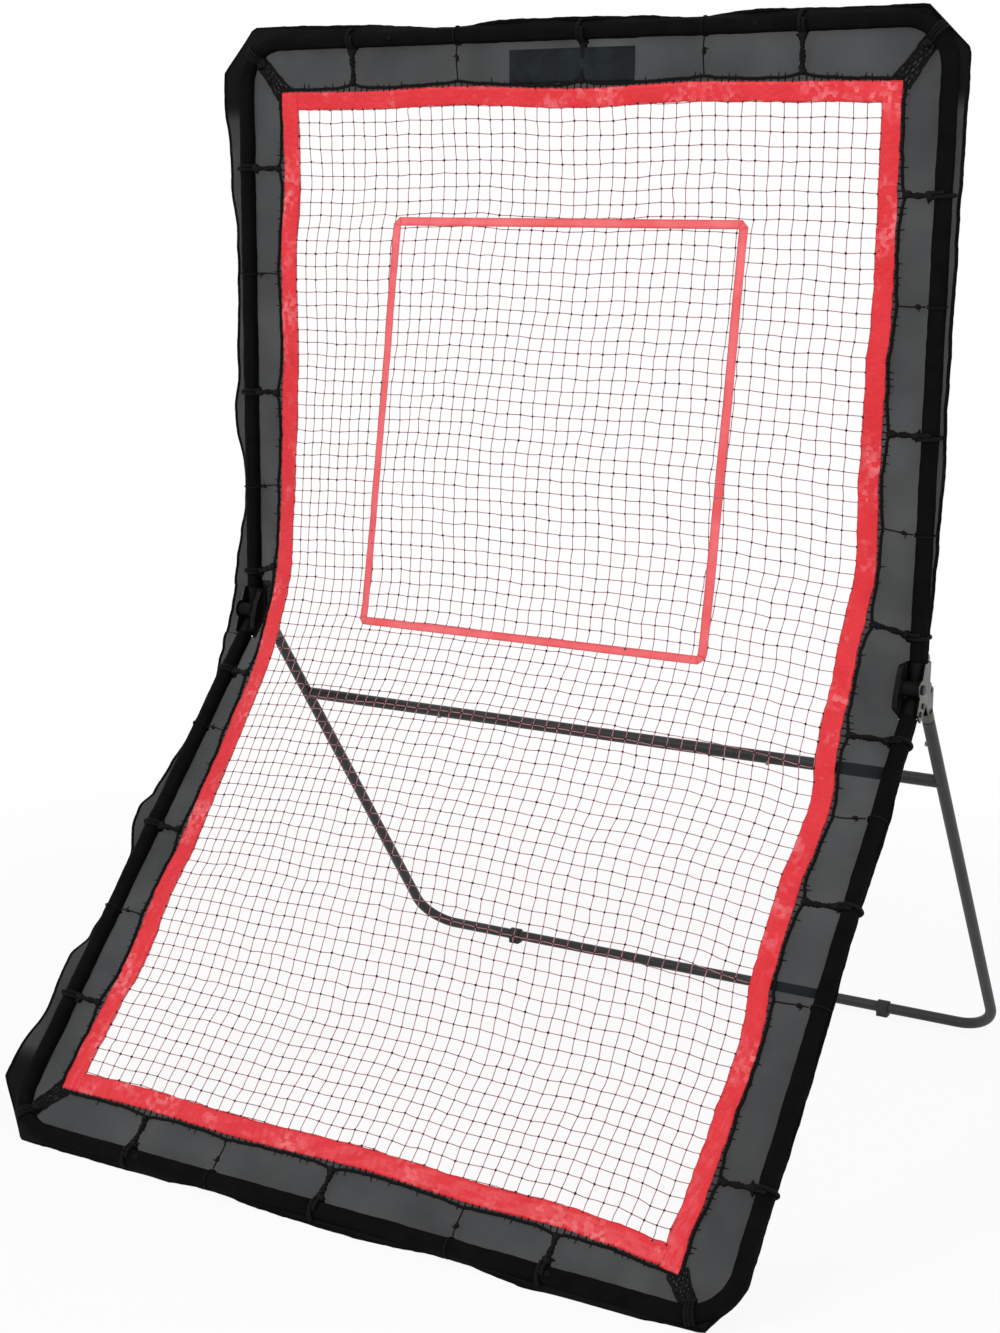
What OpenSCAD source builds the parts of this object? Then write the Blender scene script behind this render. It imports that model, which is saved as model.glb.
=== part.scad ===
// Folding pitching target net.
// Two tube panels meet at a fold hinge on each side, and a rear leg props them up through a
// toothed folding hinge. A net with a sewn border and a strike zone is tied into the frame over
// a mesh cloth cover. Millimetres, +Z up, the thrower stands on the -Y side, and the origin is
// on the floor in the middle of the footprint.

/* [Frame] */
// Width across the two side tubes
frame_w = 1067; // [960:1:1160]
// Upper panel, from the fold to the middle of the top bar
upper_len = 839; // [790:1:900]
// Lower panel, from the fold to the middle of the bottom bar
lower_len = 845; // [800:1:900]
// Outside diameter of the frame tubes
tube_d = 20; // [18:0.5:21]
// Wall of every tube
wall = 1.2; // [1:0.1:1.6]
// Bend radius of the tube corners, on the centre line
corner_r = 60; // [54:1:66]
// Slope of the lower panel above the floor, in degrees
lower_slope = 48.4; // [46:0.1:51]
// Lean of the upper panel towards the thrower, in degrees
upper_lean = 2.1; // [1:0.1:4]
// Distance of the top bar's joints from the middle
top_joint = 260; // [220:1:300]
// Distance of the bottom bar's joints from the middle
bottom_joint = 290; // [240:1:310]

/* [Fold hinge] */
// Fold pin, forward of the tubes' centre lines
pin_out = 20; // [19:0.5:24]
// Radius of the fold pin
pin_r = 4; // [3:0.5:5]
// Reach of the hinge cheeks along each tube
cheek_reach = 40; // [38:1:43]
// Thickness of the cheeks
cheek_t = 3; // [2:0.5:4]

/* [Rear leg] */
// Diameter of the leg tubes
leg_d = 17; // [16:0.5:18]
// Leg, from its pivot to the middle of the base bar
leg_len = 813; // [780:1:850]
// Pivot of the leg, behind the fold
pivot_back = 30; // [29:0.5:33]
// Leg tubes' centre line, in front of the pivot
leg_offset = 6; // [4:0.5:6.5]
// Top end of the leg tubes, from the pivot
leg_top = 56; // [54:1:64]
// Reach of the top stubs into the leg tubes
stub_len = 72; // [60:1:90]
// Snap button of the leg tubes, from their top end
leg_button_at = 52; // [30:1:55]
// Joint of the leg tubes and the base, from the pivot
leg_joint = 575; // [520:1:620]
// Crossbar, from the pivot
crossbar_at = 188; // [170:1:230]
// Diameter of the crossbar
crossbar_d = 18; // [17:0.5:20]
// Distance of the crossbar's joints from the middle
crossbar_joint = 260; // [220:1:300]
// Distance of the feet from the middle
foot_x = 340; // [280:1:400]
// Rubber round the base bar
foot_t = 3; // [2:0.5:4]
// Depth of the sole under the middle of the base bar
sole_drop = 14; // [13:0.5:17]

/* [Ratchet hinge] */
// Tip radius of the ratchet wheel
gear_r = 13; // [12.5:0.1:13.5]
// Depth of the teeth
tooth_h = 2.2; // [1.8:0.1:2.4]
// Thickness of the ratchet wheel
gear_t = 6; // [5:0.5:7]
// Thickness of the stamped plates
plate_t = 1.5; // [1.2:0.1:2]
// Radius of the pivot rivet
pivot_r = 3.9; // [3.5:0.1:4.5]
// Height of the upper rivet lobe above the pivot
lobe_up = 38; // [32:1:40]

/* [Snap buttons] */
// Radius of the buttons
button_r = 3.75; // [3:0.05:4]
// How far the buttons stand out of their tube
button_out = 3; // [2.5:0.1:3.5]
// Button, from the joint that it locks
button_in = 12; // [10:1:14]
// Length of the plug in a tube joint
plug_len = 38; // [30:1:45]

/* [Net] */
// Border tape, inside the side tubes' centre lines
side_gap = 60.5; // [58:0.5:80]
// Border tape, below the top bar
top_gap = 69; // [66:1:80]
// Border tape, above the bottom bar
bottom_gap = 55; // [52:1:70]
// Thickness of the netting
net_t = 2; // [1.5:0.1:2.4]
// Openings drawn across the net, each for several of the real ones
net_cells = 12; // [6:1:12]
// Width of a drawn cord
cord_w = 3; // [2:0.5:6]
// Width of the border tape
tape_w = 24; // [18:1:30]
// Thickness of the tapes
tape_t = 1; // [0.6:0.1:1.4]
// Radius of the selvedge rope
rope_r = 1.5; // [1.3:0.1:2]
// Distance from the fold at which the net leaves the panels
net_leave = 311; // [280:1:340]
// Width of the strike zone
zone_w = 540; // [460:1:600]
// Top edge of the strike zone, from the fold
zone_top = 595; // [540:1:640]
// Bottom edge of the strike zone, from the fold
zone_bottom = 25; // [15:1:40]
// Width of the strike zone's tape
zone_tape = 12; // [8:1:16]

/* [Cover] */
// Thickness of the cloth
cloth_t = 1; // [0.8:0.1:1.2]
// Room between a tube and its sleeve
sleeve_gap = 0.3; // [0.2:0.1:0.5]
// Sleeve's start on each side of the fold
sleeve_start = 46; // [45:1:50]
// Hem outside the side tubes, from their centre line
hem_side = 24; // [19:1:28]
// Hem above the top bar, from its centre line
hem_top = 18; // [16:1:24]
// Hem below the bottom bar, from its centre line
hem_bottom = 14; // [13.5:0.1:15]
// Width of the blank label
label_w = 186; // [120:1:220]
// Height of the blank label
label_h = 40; // [30:1:42]

/* [Ties] */
// Ties on the left of the upper panel, from the fold
ties_upper_left = [66, 195, 338, 512, 664];
// Ties on the right of the upper panel, from the fold
ties_upper_right = [74, 205, 330, 492, 628];
// Ties on the top bar, from the middle
ties_top = [-339, -168, 23, 199, 333];
// Ties on the left of the lower panel, from the fold
ties_lower_left = [109, 207, 378, 515, 654];
// Ties on the right of the lower panel, from the fold
ties_lower_right = [80, 194, 320, 456, 687];
// Ties on the bottom bar, from the middle
ties_bottom = [-320, -189, -26, 166, 292];
// Diameter of the thick elastic ties
thick_tie = 6; // [5:0.5:7]
// Diameter of the thin ties
thin_tie = 2.5; // [2:0.1:3]
// Height of a thick tie's turn over the cloth
tie_turn = 2.7; // [2.2:0.1:3.2]

/* [Hidden] */
$fn = 48;

over = 1;                      // cutters run this far past the faces that they cut
slide_fit = 0.05;              // radial room of plugs, pins and rivets
run_gap = 0.3;                 // room between faces that pass each other

tube_r = tube_d / 2;
tube_in = tube_r - wall;
leg_r = leg_d / 2;
leg_in = leg_r - wall;
crossbar_r = crossbar_d / 2;
side_x = frame_w / 2 - tube_r; // centre line of the side tubes and the legs
sleeve_in = tube_r + sleeve_gap;
sleeve_out = sleeve_in + cloth_t;
turn_in = sleeve_out + slide_fit;
turn_r = sleeve_out + tie_turn;

// the panels, the fold and the leg
bar_h = turn_r;                // the bottom bar rests on the ties' turns
deflect = 90 + upper_lean - lower_slope;
y_bar = lower_len * cos(lower_slope);
fold_z = bar_h + lower_len * sin(lower_slope);
pivot_drop = fold_z - sole_drop;
leg_reach = sqrt(leg_len * leg_len + leg_offset * leg_offset);
leg_slope = asin(pivot_drop / leg_reach) - atan(leg_offset / leg_len);
base_y = pivot_back + leg_len * cos(leg_slope) - leg_offset * sin(leg_slope);
fold_y = (y_bar + turn_r - base_y - leg_r - foot_t) / 2;
pin_s = pin_out * tan(deflect / 2);

// the fold hinge, in each panel's plane
arm_half = tube_r + 0.7;
cheek_in = arm_half + run_gap;
cheek_out = cheek_in + cheek_t;
tube_foot = 14;                // lower end of the upper tubes, on the arms
tube_head = 12;                // upper end of the lower tubes
back_t = 2.5;                  // back plate of the housing, which stops the upper tubes
back_w = tube_r + run_gap;
rivet_r = 2.5;
rivet_hole = rivet_r + slide_fit;
rivet_head_r = 4;
rivet_head = 1.5;
pin_head_r = 6.5;
pin_head = 2.5;
arm_rivet_s = 28;
lower_rivets = [20, 33];
back_rivets = [lobe_up - 16, lobe_up - 4];

// the ratchet hinge, across its stack
gear_half = gear_t / 2;
shell_in = gear_half + plate_t + run_gap;
shell_out = shell_in + plate_t;
teeth = 30;                    // the leg folds by a whole number of teeth
pitch = 360 / teeth;
gear_root = gear_r - tooth_h;
disc_r = gear_r + 2.5;
tooth_side = 1.5;              // half of a tooth gap's floor, in degrees
tip_side = 0.8;                // half of a tooth's tip, in degrees
stub_r = leg_in - slide_fit;
socket_r = stub_r + slide_fit + plate_t;
socket_top = 38;
socket_end = leg_top - 2;
pawl_at = [16, 12];            // the pawl's pivot, along the leg and above it
pawl_pin_r = 2;
pawl_half = gear_half - 0.2;
stub_end = leg_top + stub_len;
stub_button = leg_top + leg_button_at;

// the net
bend_r = net_leave / tan(deflect / 2);
stiff_rise = pin_out - 4;      // the net's fixed parts stay behind the fold pin
stiff_turn = acos(1 - stiff_rise / bend_r);
net_half = side_x - side_gap;
rope_x = net_half + 2 * rope_r;
net_top = upper_len - top_gap;
net_bottom = lower_len - bottom_gap;
lift = slide_fit;              // room under the tapes
seam = 0.02;                   // room between the fixed and the bending strips, in degrees
zone_half = zone_w / 2;
zone_turn = asin((net_leave - zone_bottom) / bend_r);
zone_turn_in = asin((net_leave - zone_bottom - zone_tape) / bend_r);

net_in = net_half - tape_w;
net_pitch = 2 * net_in / net_cells;
pitch_turn = atan(net_pitch / bend_r);
cord_turn = atan(cord_w / bend_r);

// the cover
web_w = -6;                    // back of the cloth between the sleeve and the net
web_side = side_x - rope_x;
web_top = top_gap - 2 * rope_r;
web_bottom = bottom_gap - 2 * rope_r;
hem_t = 2.5;
hem_w = 4;
button_clear = 1.3;            // opening in the sleeve round a button

black_steel = "#1b1c1d";
grey_steel = "#3a3d3e";
zinc = "#8c8c86";
red = "#e8323a";
coral = "#f4606a";
cloth = "#45484a";
elastic = "#101112";
rubber = "#222324";
netting = "#6b4a4c";

// places

module upper_panel() translate([0, fold_y, fold_z]) rotate([90 + upper_lean, 0, 0]) children();
module lower_panel()
    translate([0, fold_y, fold_z]) rotate([lower_slope, 0, 0]) mirror([0, 1, 0]) children();
module leg_frame()
    translate([0, fold_y + pivot_back, fold_z]) rotate([-leg_slope, 0, 0]) children();
module ratchet_frame(side) translate([side * side_x, fold_y + pivot_back, fold_z]) children();
module left() mirror([1, 0, 0]) children();
module both() {
    children();
    left() children();
}

// a profile drawn in y and z, extruded along x from x0 by t
module along_x(x0, t) translate([x0, 0, 0]) rotate([90, 0, 90]) linear_extrude(t) children();
module rod_x(x0, x1, r) translate([x0, 0, 0]) rotate([0, 90, 0]) cylinder(r = r, h = x1 - x0);
module rod_y(y0, y1, r) translate([0, y0, 0]) rotate([-90, 0, 0]) cylinder(r = r, h = y1 - y0);

// tubes

// the right side tube's route: up the side, round the corner and in along the bar
module side_run(len, s0, joint, r, more = 0) {
    translate([side_x, 0, 0]) rod_y(s0 - more, len - corner_r, r);
    translate([side_x - corner_r, len - corner_r, 0])
        rotate_extrude(angle = 90) translate([corner_r, 0]) circle(r);
    translate([0, len, 0]) rod_x(joint - more, side_x - corner_r, r);
}

module button_hole(x, r = button_r + 0.25) translate([x, 0, 0]) cylinder(r = r, h = 2 * tube_r);

module side_tube(len, s0, joint, rivets) {
    difference() {
        side_run(len, s0, joint, tube_r);
        side_run(len, s0, joint, tube_in, over);
        translate([0, len, 0]) button_hole(joint + button_in);
        for (s = rivets) translate([side_x, s, 0]) rod_x(-2 * tube_r, 2 * tube_r, rivet_hole);
    }
}

// a bar whose necked ends plug into the tubes on each side
module plug_bar(joint, r, bore) {
    plug_r = bore - slide_fit;
    difference() {
        union() {
            rod_x(-joint, joint, r);
            rod_x(-joint - plug_len, joint + plug_len, plug_r);
        }
        rod_x(-joint - plug_len - over, joint + plug_len + over, plug_r - wall);
        rod_x(-joint + 2 * wall, joint - 2 * wall, bore);
        both() button_hole(joint + button_in);
    }
}

// a button stands along z on the middle of its tube
module button(r) {
    translate([0, 0, 2]) cylinder(r = button_r, h = r + button_out - 2.8);
    translate([0, 0, r + button_out - 0.8]) cylinder(r1 = button_r, r2 = button_r - 0.9, h = 0.8);
}

// a bent leaf behind a button, in the x and z plane, with its bend towards -x
module snap_spring(bore) {
    low = -sqrt(bore * bore - 9) + 0.2;
    rotate([90, 0, 0]) linear_extrude(6, center = true)
        polygon([[5, 1.8], [-26, low / 2 + 1], [5, low], [5, low + 0.8],
                 [-22, low / 2 + 1], [5, 1]]);
}

// the fold hinge, drawn in y and z about the fold

function at_upper(s, w) = [-s * sin(upper_lean) - w * cos(upper_lean),
                           s * cos(upper_lean) - w * sin(upper_lean)];
function at_lower(s, w) = [-s * cos(lower_slope) - w * sin(lower_slope),
                           -s * sin(lower_slope) + w * cos(lower_slope)];
pin_at = at_upper(pin_s, pin_out);

module at_fold(side) translate([side * side_x, fold_y, fold_z]) children();

module cheek_shape() {
    difference() {
        union() {
            polygon([at_upper(cheek_reach, -back_w - back_t), at_upper(cheek_reach, tube_r - 1),
                     at_lower(cheek_reach, tube_r - 1), at_lower(cheek_reach, -tube_r),
                     at_lower(0, -tube_r), at_upper(0, -back_w - back_t)]);
            translate(pin_at) circle(pin_r + 9);
        }
        translate(pin_at) circle(pin_r + slide_fit);
        for (s = lower_rivets) translate(at_lower(s, 0)) circle(rivet_hole);
    }
}

module back_shape()
    polygon([at_upper(8, -back_w), at_upper(cheek_reach, -back_w),
             at_upper(cheek_reach, -back_w - back_t), at_upper(8, -back_w - back_t)]);

module hinge_housing(side) {
    color(black_steel) at_fold(side) difference() {
        union() {
            along_x(cheek_in, cheek_t) cheek_shape();
            along_x(-cheek_out, cheek_t) cheek_shape();
            along_x(-cheek_in, 2 * cheek_in) back_shape();
        }
        for (z = back_rivets) translate([0, 0, z]) rod_y(0, 2 * pivot_back, rivet_hole);
    }
}

module hinge_arm(side) {
    color(black_steel) at_fold(side) {
        difference() {
            along_x(-arm_half, 2 * arm_half) difference() {
                union() {
                    translate(pin_at) circle(pin_r + 6);
                    polygon([at_upper(9, -tube_r), at_upper(tube_foot, -tube_r),
                             at_upper(tube_foot, tube_r), at_upper(pin_s + 9, pin_out - 1),
                             at_upper(pin_s - 7, pin_out - 4)]);
                }
                translate(pin_at) circle(pin_r + slide_fit);
            }
        }
        rotate([90 + upper_lean, 0, 0]) difference() {
            rod_y(tube_foot, tube_foot + 28, tube_in - slide_fit);
            translate([0, arm_rivet_s, 0]) rod_x(-2 * tube_r, 2 * tube_r, rivet_hole);
        }
    }
}

module fold_pins() color(zinc) for (side = [-1, 1]) at_fold(side)
    translate([0, pin_at[0], pin_at[1]]) {
        rod_x(-cheek_out, cheek_out, pin_r);
        rod_x(cheek_out, cheek_out + pin_head, pin_head_r);
        rod_x(-cheek_out - pin_head, -cheek_out, pin_head_r);
    }

module cross_rivet(half, head_r, head) {
    rod_x(-half, half, rivet_r);
    rod_x(half, half + head, head_r);
    rod_x(-half - head, -half, head_r);
}

module housing_rivets() color(zinc) for (side = [-1, 1]) {
    at_fold(side) for (s = lower_rivets)
        translate([0, at_lower(s, 0)[0], at_lower(s, 0)[1]])
            cross_rivet(cheek_out, rivet_head_r, rivet_head);
    at_fold(side) for (z = back_rivets) translate([0, 0, z]) {
        rod_y(back_inner(z), flange_y() + plate_t, rivet_r);
        rod_y(flange_y() + plate_t, flange_y() + plate_t + 1, gear_half - 0.1);
    }
}

module arm_rivets() color(zinc) upper_panel() both()
    translate([side_x, arm_rivet_s, 0]) cross_rivet(tube_r, 3.2, arm_half - tube_r);

// the ratchet hinge

// inner face of the housing's back plate at height z, and the face that the flange lies on
function back_inner(z) = back_w * cos(upper_lean) - (z - back_w * sin(upper_lean)) * tan(upper_lean) + 0.6;
function flange_y() = (back_w + back_t) / cos(upper_lean) + run_gap;

module plate_shape() {
    difference() {
        union() {
            circle(disc_r);
            translate([-3, lobe_up]) circle(9);
            polygon([[-12, lobe_up], [6, lobe_up], [disc_r - 2, 6], [-disc_r + 2, 6]]);
            translate([flange_y() - pivot_back, 12]) square([pivot_back - flange_y() - 4, lobe_up - 10]);
        }
        circle(pivot_r + slide_fit);
    }
}

module ratchet_plate(side) color(zinc) ratchet_frame(side) difference() {
    union() {
        along_x(gear_half, plate_t) plate_shape();
        along_x(-gear_half - plate_t, plate_t) plate_shape();
        translate([-10, flange_y() - pivot_back, 12]) cube([20, plate_t, lobe_up - 10]);
        translate([0, -3, lobe_up]) rod_x(-gear_half - plate_t - 1.2, gear_half + plate_t + 1.2, 4.5);
    }
    for (z = back_rivets) translate([0, 0, z]) rod_y(-pivot_back, -pivot_back / 3, rivet_hole);
}

// the wheel is fixed between the plates; a gap between two teeth faces the leg
module ratchet_gear(side) color(zinc) ratchet_frame(side) rotate([-leg_slope, 0, 0])
    along_x(-gear_half, gear_t) difference() {
        polygon([for (i = [0 : teeth - 1], k = [0 : 3])
            let (a = i * pitch + [-tooth_side, tooth_side, pitch / 2 - tip_side, pitch / 2 + tip_side][k],
                 r = k < 2 ? gear_root : gear_r)
            [r * cos(a), r * sin(a)]]);
        circle(pivot_r + slide_fit);
    }

module ratchet_pivots() color(zinc) for (side = [-1, 1]) ratchet_frame(side) {
    rod_x(-shell_out - slide_fit, shell_out + slide_fit, pivot_r);
    rod_x(shell_out + slide_fit, shell_out + slide_fit + 2, 6);
    rod_x(-shell_out - slide_fit - 2, -shell_out - slide_fit, 6);
}

// one side of the stamped socket, in the leg's own frame
module shell_shape() {
    difference() {
        union() {
            intersection() {
                circle(disc_r);
                rotate(leg_slope) translate([-2 * disc_r, -4 * disc_r]) square([4 * disc_r, 4 * disc_r + 6]);
            }
            polygon([[0, -disc_r], [socket_top + 3, -leg_offset - socket_r],
                     [socket_top + 3, -leg_offset + socket_r], [pawl_at[0] + 5, pawl_at[1] + 4],
                     [0, disc_r - 3]]);
            translate(pawl_at) circle(5.5);
        }
        circle(pivot_r + slide_fit);
        translate(pawl_at) circle(pawl_pin_r + slide_fit);
    }
}

module ratchet_socket(side) color(zinc) ratchet_frame(side) rotate([-leg_slope, 0, 0]) {
    difference() {
        union() {
            along_x(shell_in, plate_t) shell_shape();
            along_x(-shell_out, plate_t) shell_shape();
            translate([0, 0, -leg_offset]) rod_y(socket_top, socket_end, socket_r);
        }
        translate([0, 0, -leg_offset]) rod_y(socket_top + 3, socket_end + over, stub_r + slide_fit);
    }
}

module pawl_shape() {
    difference() {
        union() {
            translate(pawl_at) circle(4.2);
            polygon([[gear_root + 0.3, -0.15], [gear_r + 0.4, -0.8], [gear_r + 3.2, -0.9],
                     [pawl_at[0] + 3.8, pawl_at[1] - 1.5], [pawl_at[0] - 3, pawl_at[1] - 2.9],
                     [gear_r + 0.5, 4.5], [gear_r + 0.4, 0.8], [gear_root + 0.3, 0.15]]);
        }
        translate(pawl_at) circle(pawl_pin_r + slide_fit);
    }
}

module pawl(side) color(zinc) ratchet_frame(side) rotate([-leg_slope, 0, 0])
    along_x(-pawl_half, 2 * pawl_half) pawl_shape();

module pawl_pins() color(zinc) for (side = [-1, 1]) ratchet_frame(side)
    rotate([-leg_slope, 0, 0]) translate([0, pawl_at[0], pawl_at[1]]) {
        rod_x(-shell_out, shell_out, pawl_pin_r);
        rod_x(shell_out, shell_out + 1, pawl_pin_r + 1.5);
        rod_x(-shell_out - 1, -shell_out, pawl_pin_r + 1.5);
    }

// a leaf from the socket's floor to the pawl's heel
module pawl_springs() color(zinc) for (side = [-1, 1]) ratchet_frame(side)
    rotate([-leg_slope, 0, 0]) along_x(-pawl_half, 2 * pawl_half)
        polygon([[socket_top, 0.4], [socket_top, 1.2], [pawl_at[0] + 6, 1.4], [gear_r + 4.2, -1.2],
                 [gear_r + 4.6, -2], [pawl_at[0] + 6.4, 0.5]]);

// the rear leg

module leg_tube(side) color(grey_steel) leg_frame() translate([side * side_x, 0, -leg_offset])
    difference() {
        rod_y(leg_top, leg_joint, leg_r);
        rod_y(leg_top - over, leg_joint + over, leg_in);
        translate([0, stub_button, 0]) rotate([0, -side * 90, 0]) button_hole(0);
    }

module leg_stub(side) color(grey_steel) leg_frame() translate([side * side_x, 0, -leg_offset])
    difference() {
        rod_y(socket_top + 3, stub_end, stub_r);
        rod_y(socket_top + 3 + wall, stub_end + over, stub_r - wall);
        translate([0, stub_button, 0]) rotate([0, -side * 90, 0]) button_hole(0);
    }

// both crossbar stubs are cut round to the leg tube that they are welded to
module crossbar_stub() translate([0, crossbar_at, -leg_offset]) difference() {
    rod_x(crossbar_joint, side_x, crossbar_r);
    rod_x(crossbar_joint - over, side_x + over, crossbar_r - wall);
    translate([side_x, 0, 0]) rod_y(-2 * crossbar_r, 2 * crossbar_r, leg_r + slide_fit);
    mirror([0, 0, 1]) button_hole(crossbar_joint + button_in);
}

module crossbar() color(grey_steel) leg_frame() translate([0, crossbar_at, -leg_offset])
    mirror([0, 0, 1]) plug_bar(crossbar_joint, crossbar_r, crossbar_r - wall);

module base_run(r, more = 0) {
    both() {
        translate([side_x, 0, 0]) rod_y(leg_joint, leg_len - corner_r, r);
        translate([side_x - corner_r, leg_len - corner_r, 0])
            rotate_extrude(angle = 90) translate([corner_r, 0]) circle(r);
    }
    translate([0, leg_len, 0]) rod_x(corner_r - side_x, side_x - corner_r, r);
}

module leg_base() color(grey_steel) leg_frame() translate([0, 0, -leg_offset]) difference() {
    union() {
        base_run(leg_r);
        both() translate([side_x, 0, 0]) rod_y(leg_joint - plug_len, leg_joint, stub_r);
    }
    difference() {
        base_run(leg_in);
        both() translate([side_x, 0, 0]) rod_y(leg_joint - over, leg_joint + 2 * wall, leg_r);
    }
    both() translate([side_x, 0, 0]) rod_y(leg_joint - plug_len - over, leg_joint + 3 * wall, stub_r - wall);
}

// a rubber ring with a flat sole
module foot(side) color(rubber) translate([side * foot_x, fold_y + base_y, sole_drop]) difference() {
    union() {
        rod_x(-9, 9, leg_r + foot_t);
        translate([-9, -8, -sole_drop]) cube([18, 16, sole_drop]);
    }
    rod_x(-9 - over, 9 + over, leg_r + slide_fit);
}

// the net, its tapes and ropes

// a strip on the curve between the panels, from turn a0 to a1 after the net leaves the panel
module curve_strip(r0, r1, x0, x1, a0, a1)
    translate([0, net_leave, bend_r]) rotate([0, 90, 0]) rotate([0, 0, -a1])
        rotate_extrude(angle = a1 - a0) translate([r0, x0]) square([r1 - r0, x1 - x0]);

// the part of the curve from turn a0 to a1, deeper than the netting
module curve_slice(x0, x1, a0, a1)
    translate([x0, net_leave, bend_r]) rotate([90, 0, 90]) linear_extrude(x1 - x0) polygon([
        for (p = [[a0, -net_t], [a1, -net_t], [a1, 2 * net_t], [a0, 2 * net_t]])
            -(bend_r + p[1]) * [sin(p[0]), cos(p[0])]]);

// the netting on that curve, with its rows of openings
module curve_net(a0, a1) {
    rows = round((a1 - a0) / pitch_turn);
    row_turn = (a1 - a0) / rows;
    difference() {
        curve_strip(bend_r - net_t / 2, bend_r + net_t / 2, -rope_x, rope_x, a0, a1);
        for (i = [0 : net_cells - 1], j = [0 : rows - 1])
            curve_slice(i * net_pitch - net_in + cord_w / 2, (i + 1) * net_pitch - net_in - cord_w / 2,
                a0 + j * row_turn + cord_turn / 2, a0 + (j + 1) * row_turn - cord_turn / 2);
    }
}

module curve_rope(x, a0, a1)
    translate([0, net_leave, bend_r]) rotate([0, 90, 0]) rotate([0, 0, -a1])
        rotate_extrude(angle = a1 - a0) translate([bend_r, x]) circle(rope_r);

module net_panel(end) {
    rows = round((end - tape_w - net_leave) / net_pitch);
    row = (end - tape_w - net_leave) / rows;
    translate([0, 0, -net_t / 2]) linear_extrude(net_t) difference() {
        translate([-rope_x, net_leave]) square([2 * rope_x, end + 2 * rope_r - net_leave]);
        for (i = [0 : net_cells - 1], j = [0 : rows - 1])
            translate([i * net_pitch - net_in + cord_w / 2, net_leave + j * row + cord_w / 2])
                square([net_pitch - cord_w, row - cord_w]);
    }
    curve_net(0, stiff_turn);
    both() {
        translate([rope_x, 0, 0]) rod_y(net_leave, end + 2 * rope_r, rope_r);
        curve_rope(rope_x, 0, stiff_turn);
    }
    translate([0, end + 2 * rope_r, 0]) rod_x(-rope_x, rope_x, rope_r);
}

module net_upper() color(netting) upper_panel() net_panel(net_top);
module net_lower() color(netting) lower_panel() net_panel(net_bottom);
module net_bend() color(netting) upper_panel() {
    curve_net(bend_start, bend_end);
    both() curve_rope(rope_x, bend_start, bend_end);
}

bend_start = stiff_turn + seam;
bend_end = deflect - stiff_turn - seam;
tape_far = bend_r - net_t / 2 - lift;
tape_near = tape_far - tape_t;

module border_panel(end) {
    translate([0, 0, net_t / 2 + lift]) linear_extrude(tape_t) difference() {
        translate([-net_half, net_leave]) square([2 * net_half, end - net_leave]);
        translate([tape_w - net_half, net_leave - over])
            square([2 * (net_half - tape_w), end - tape_w - net_leave + over]);
    }
    both() curve_strip(tape_near, tape_far, net_half - tape_w, net_half, 0, stiff_turn);
}

module border_tape_upper() color(red) upper_panel() border_panel(net_top);
module border_tape_lower() color(red) lower_panel() border_panel(net_bottom);
module border_tape_bend() color(red) upper_panel() both()
    curve_strip(tape_near, tape_far, net_half - tape_w, net_half, bend_start, bend_end);

module zone_tape_upper() color(coral) upper_panel() {
    translate([0, 0, net_t / 2 + lift]) linear_extrude(tape_t) difference() {
        translate([-zone_half, net_leave]) square([2 * zone_half, zone_top - net_leave]);
        translate([zone_tape - zone_half, net_leave - over])
            square([2 * (zone_half - zone_tape), zone_top - zone_tape - net_leave + over]);
    }
    both() curve_strip(tape_near, tape_far, zone_half - zone_tape, zone_half, 0, stiff_turn);
}

module zone_tape_bend() color(coral) upper_panel() {
    both() curve_strip(tape_near, tape_far, zone_half - zone_tape, zone_half, bend_start, zone_turn);
    curve_strip(tape_near, tape_far, zone_tape - zone_half, zone_half - zone_tape, zone_turn_in, zone_turn);
}

// the ties

function tie_d(i) = i % 2 == 0 ? thick_tie : thin_tie;
function tie_out(i) = i % 2 == 0 ? turn_r : turn_in + thin_tie - 0.8;

// a turn round the curved part of a tube is this much wider
corner_room = thick_tie * thick_tie / corner_r / 4;

// how far the net's rope stands in front of the panel, at s from the fold, and its slope there
function net_reach(s) = max(net_leave - s, 0);
function net_rise(s) = bend_r - sqrt(bend_r * bend_r - net_reach(s) * net_reach(s));
function net_slope(s) = net_reach(s) / bend_r;

// a turn round a tube that runs along y, and the strand in to the rope at x = -reach, z = rise
module tie(i, reach, rise = 0, slope = 0, aim = 0, room = 0) {
    r = tie_d(i) / 2;
    run = reach - tube_r;
    drop = rise - r;
    strand = norm([run, drop]) - rope_r - slide_fit - r * slope;
    difference() {
        union() {
            rod_y(-r, r, tie_out(i));
            rotate([0, 0, aim]) translate([-tube_r, 0, r]) rotate([0, atan2(drop, run) - 90, 0])
                cylinder(r = r - 0.3, h = strand);
        }
        rod_y(-2 * turn_r, 2 * turn_r, turn_in + room);
    }
}

module tie_room(i, room = 0) difference() {
    rod_y(-tie_d(i) / 2 - run_gap, tie_d(i) / 2 + run_gap, turn_r + run_gap);
    rod_y(-tie_d(i), tie_d(i), sleeve_out + room);
}

// the places of the ties round one panel
module at_side_ties(list, side, i)
    translate([side * side_x, list[i], 0]) mirror([side < 0 ? 1 : 0, 0, 0]) children();
module at_bar_ties(list, len, i) translate([list[i], len, 0]) rotate([0, 0, 90]) children();
module at_corner(len) both() translate([side_x - corner_r, len - corner_r, 0])
    rotate([0, 0, 45]) translate([corner_r, 0, 0]) children();

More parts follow.
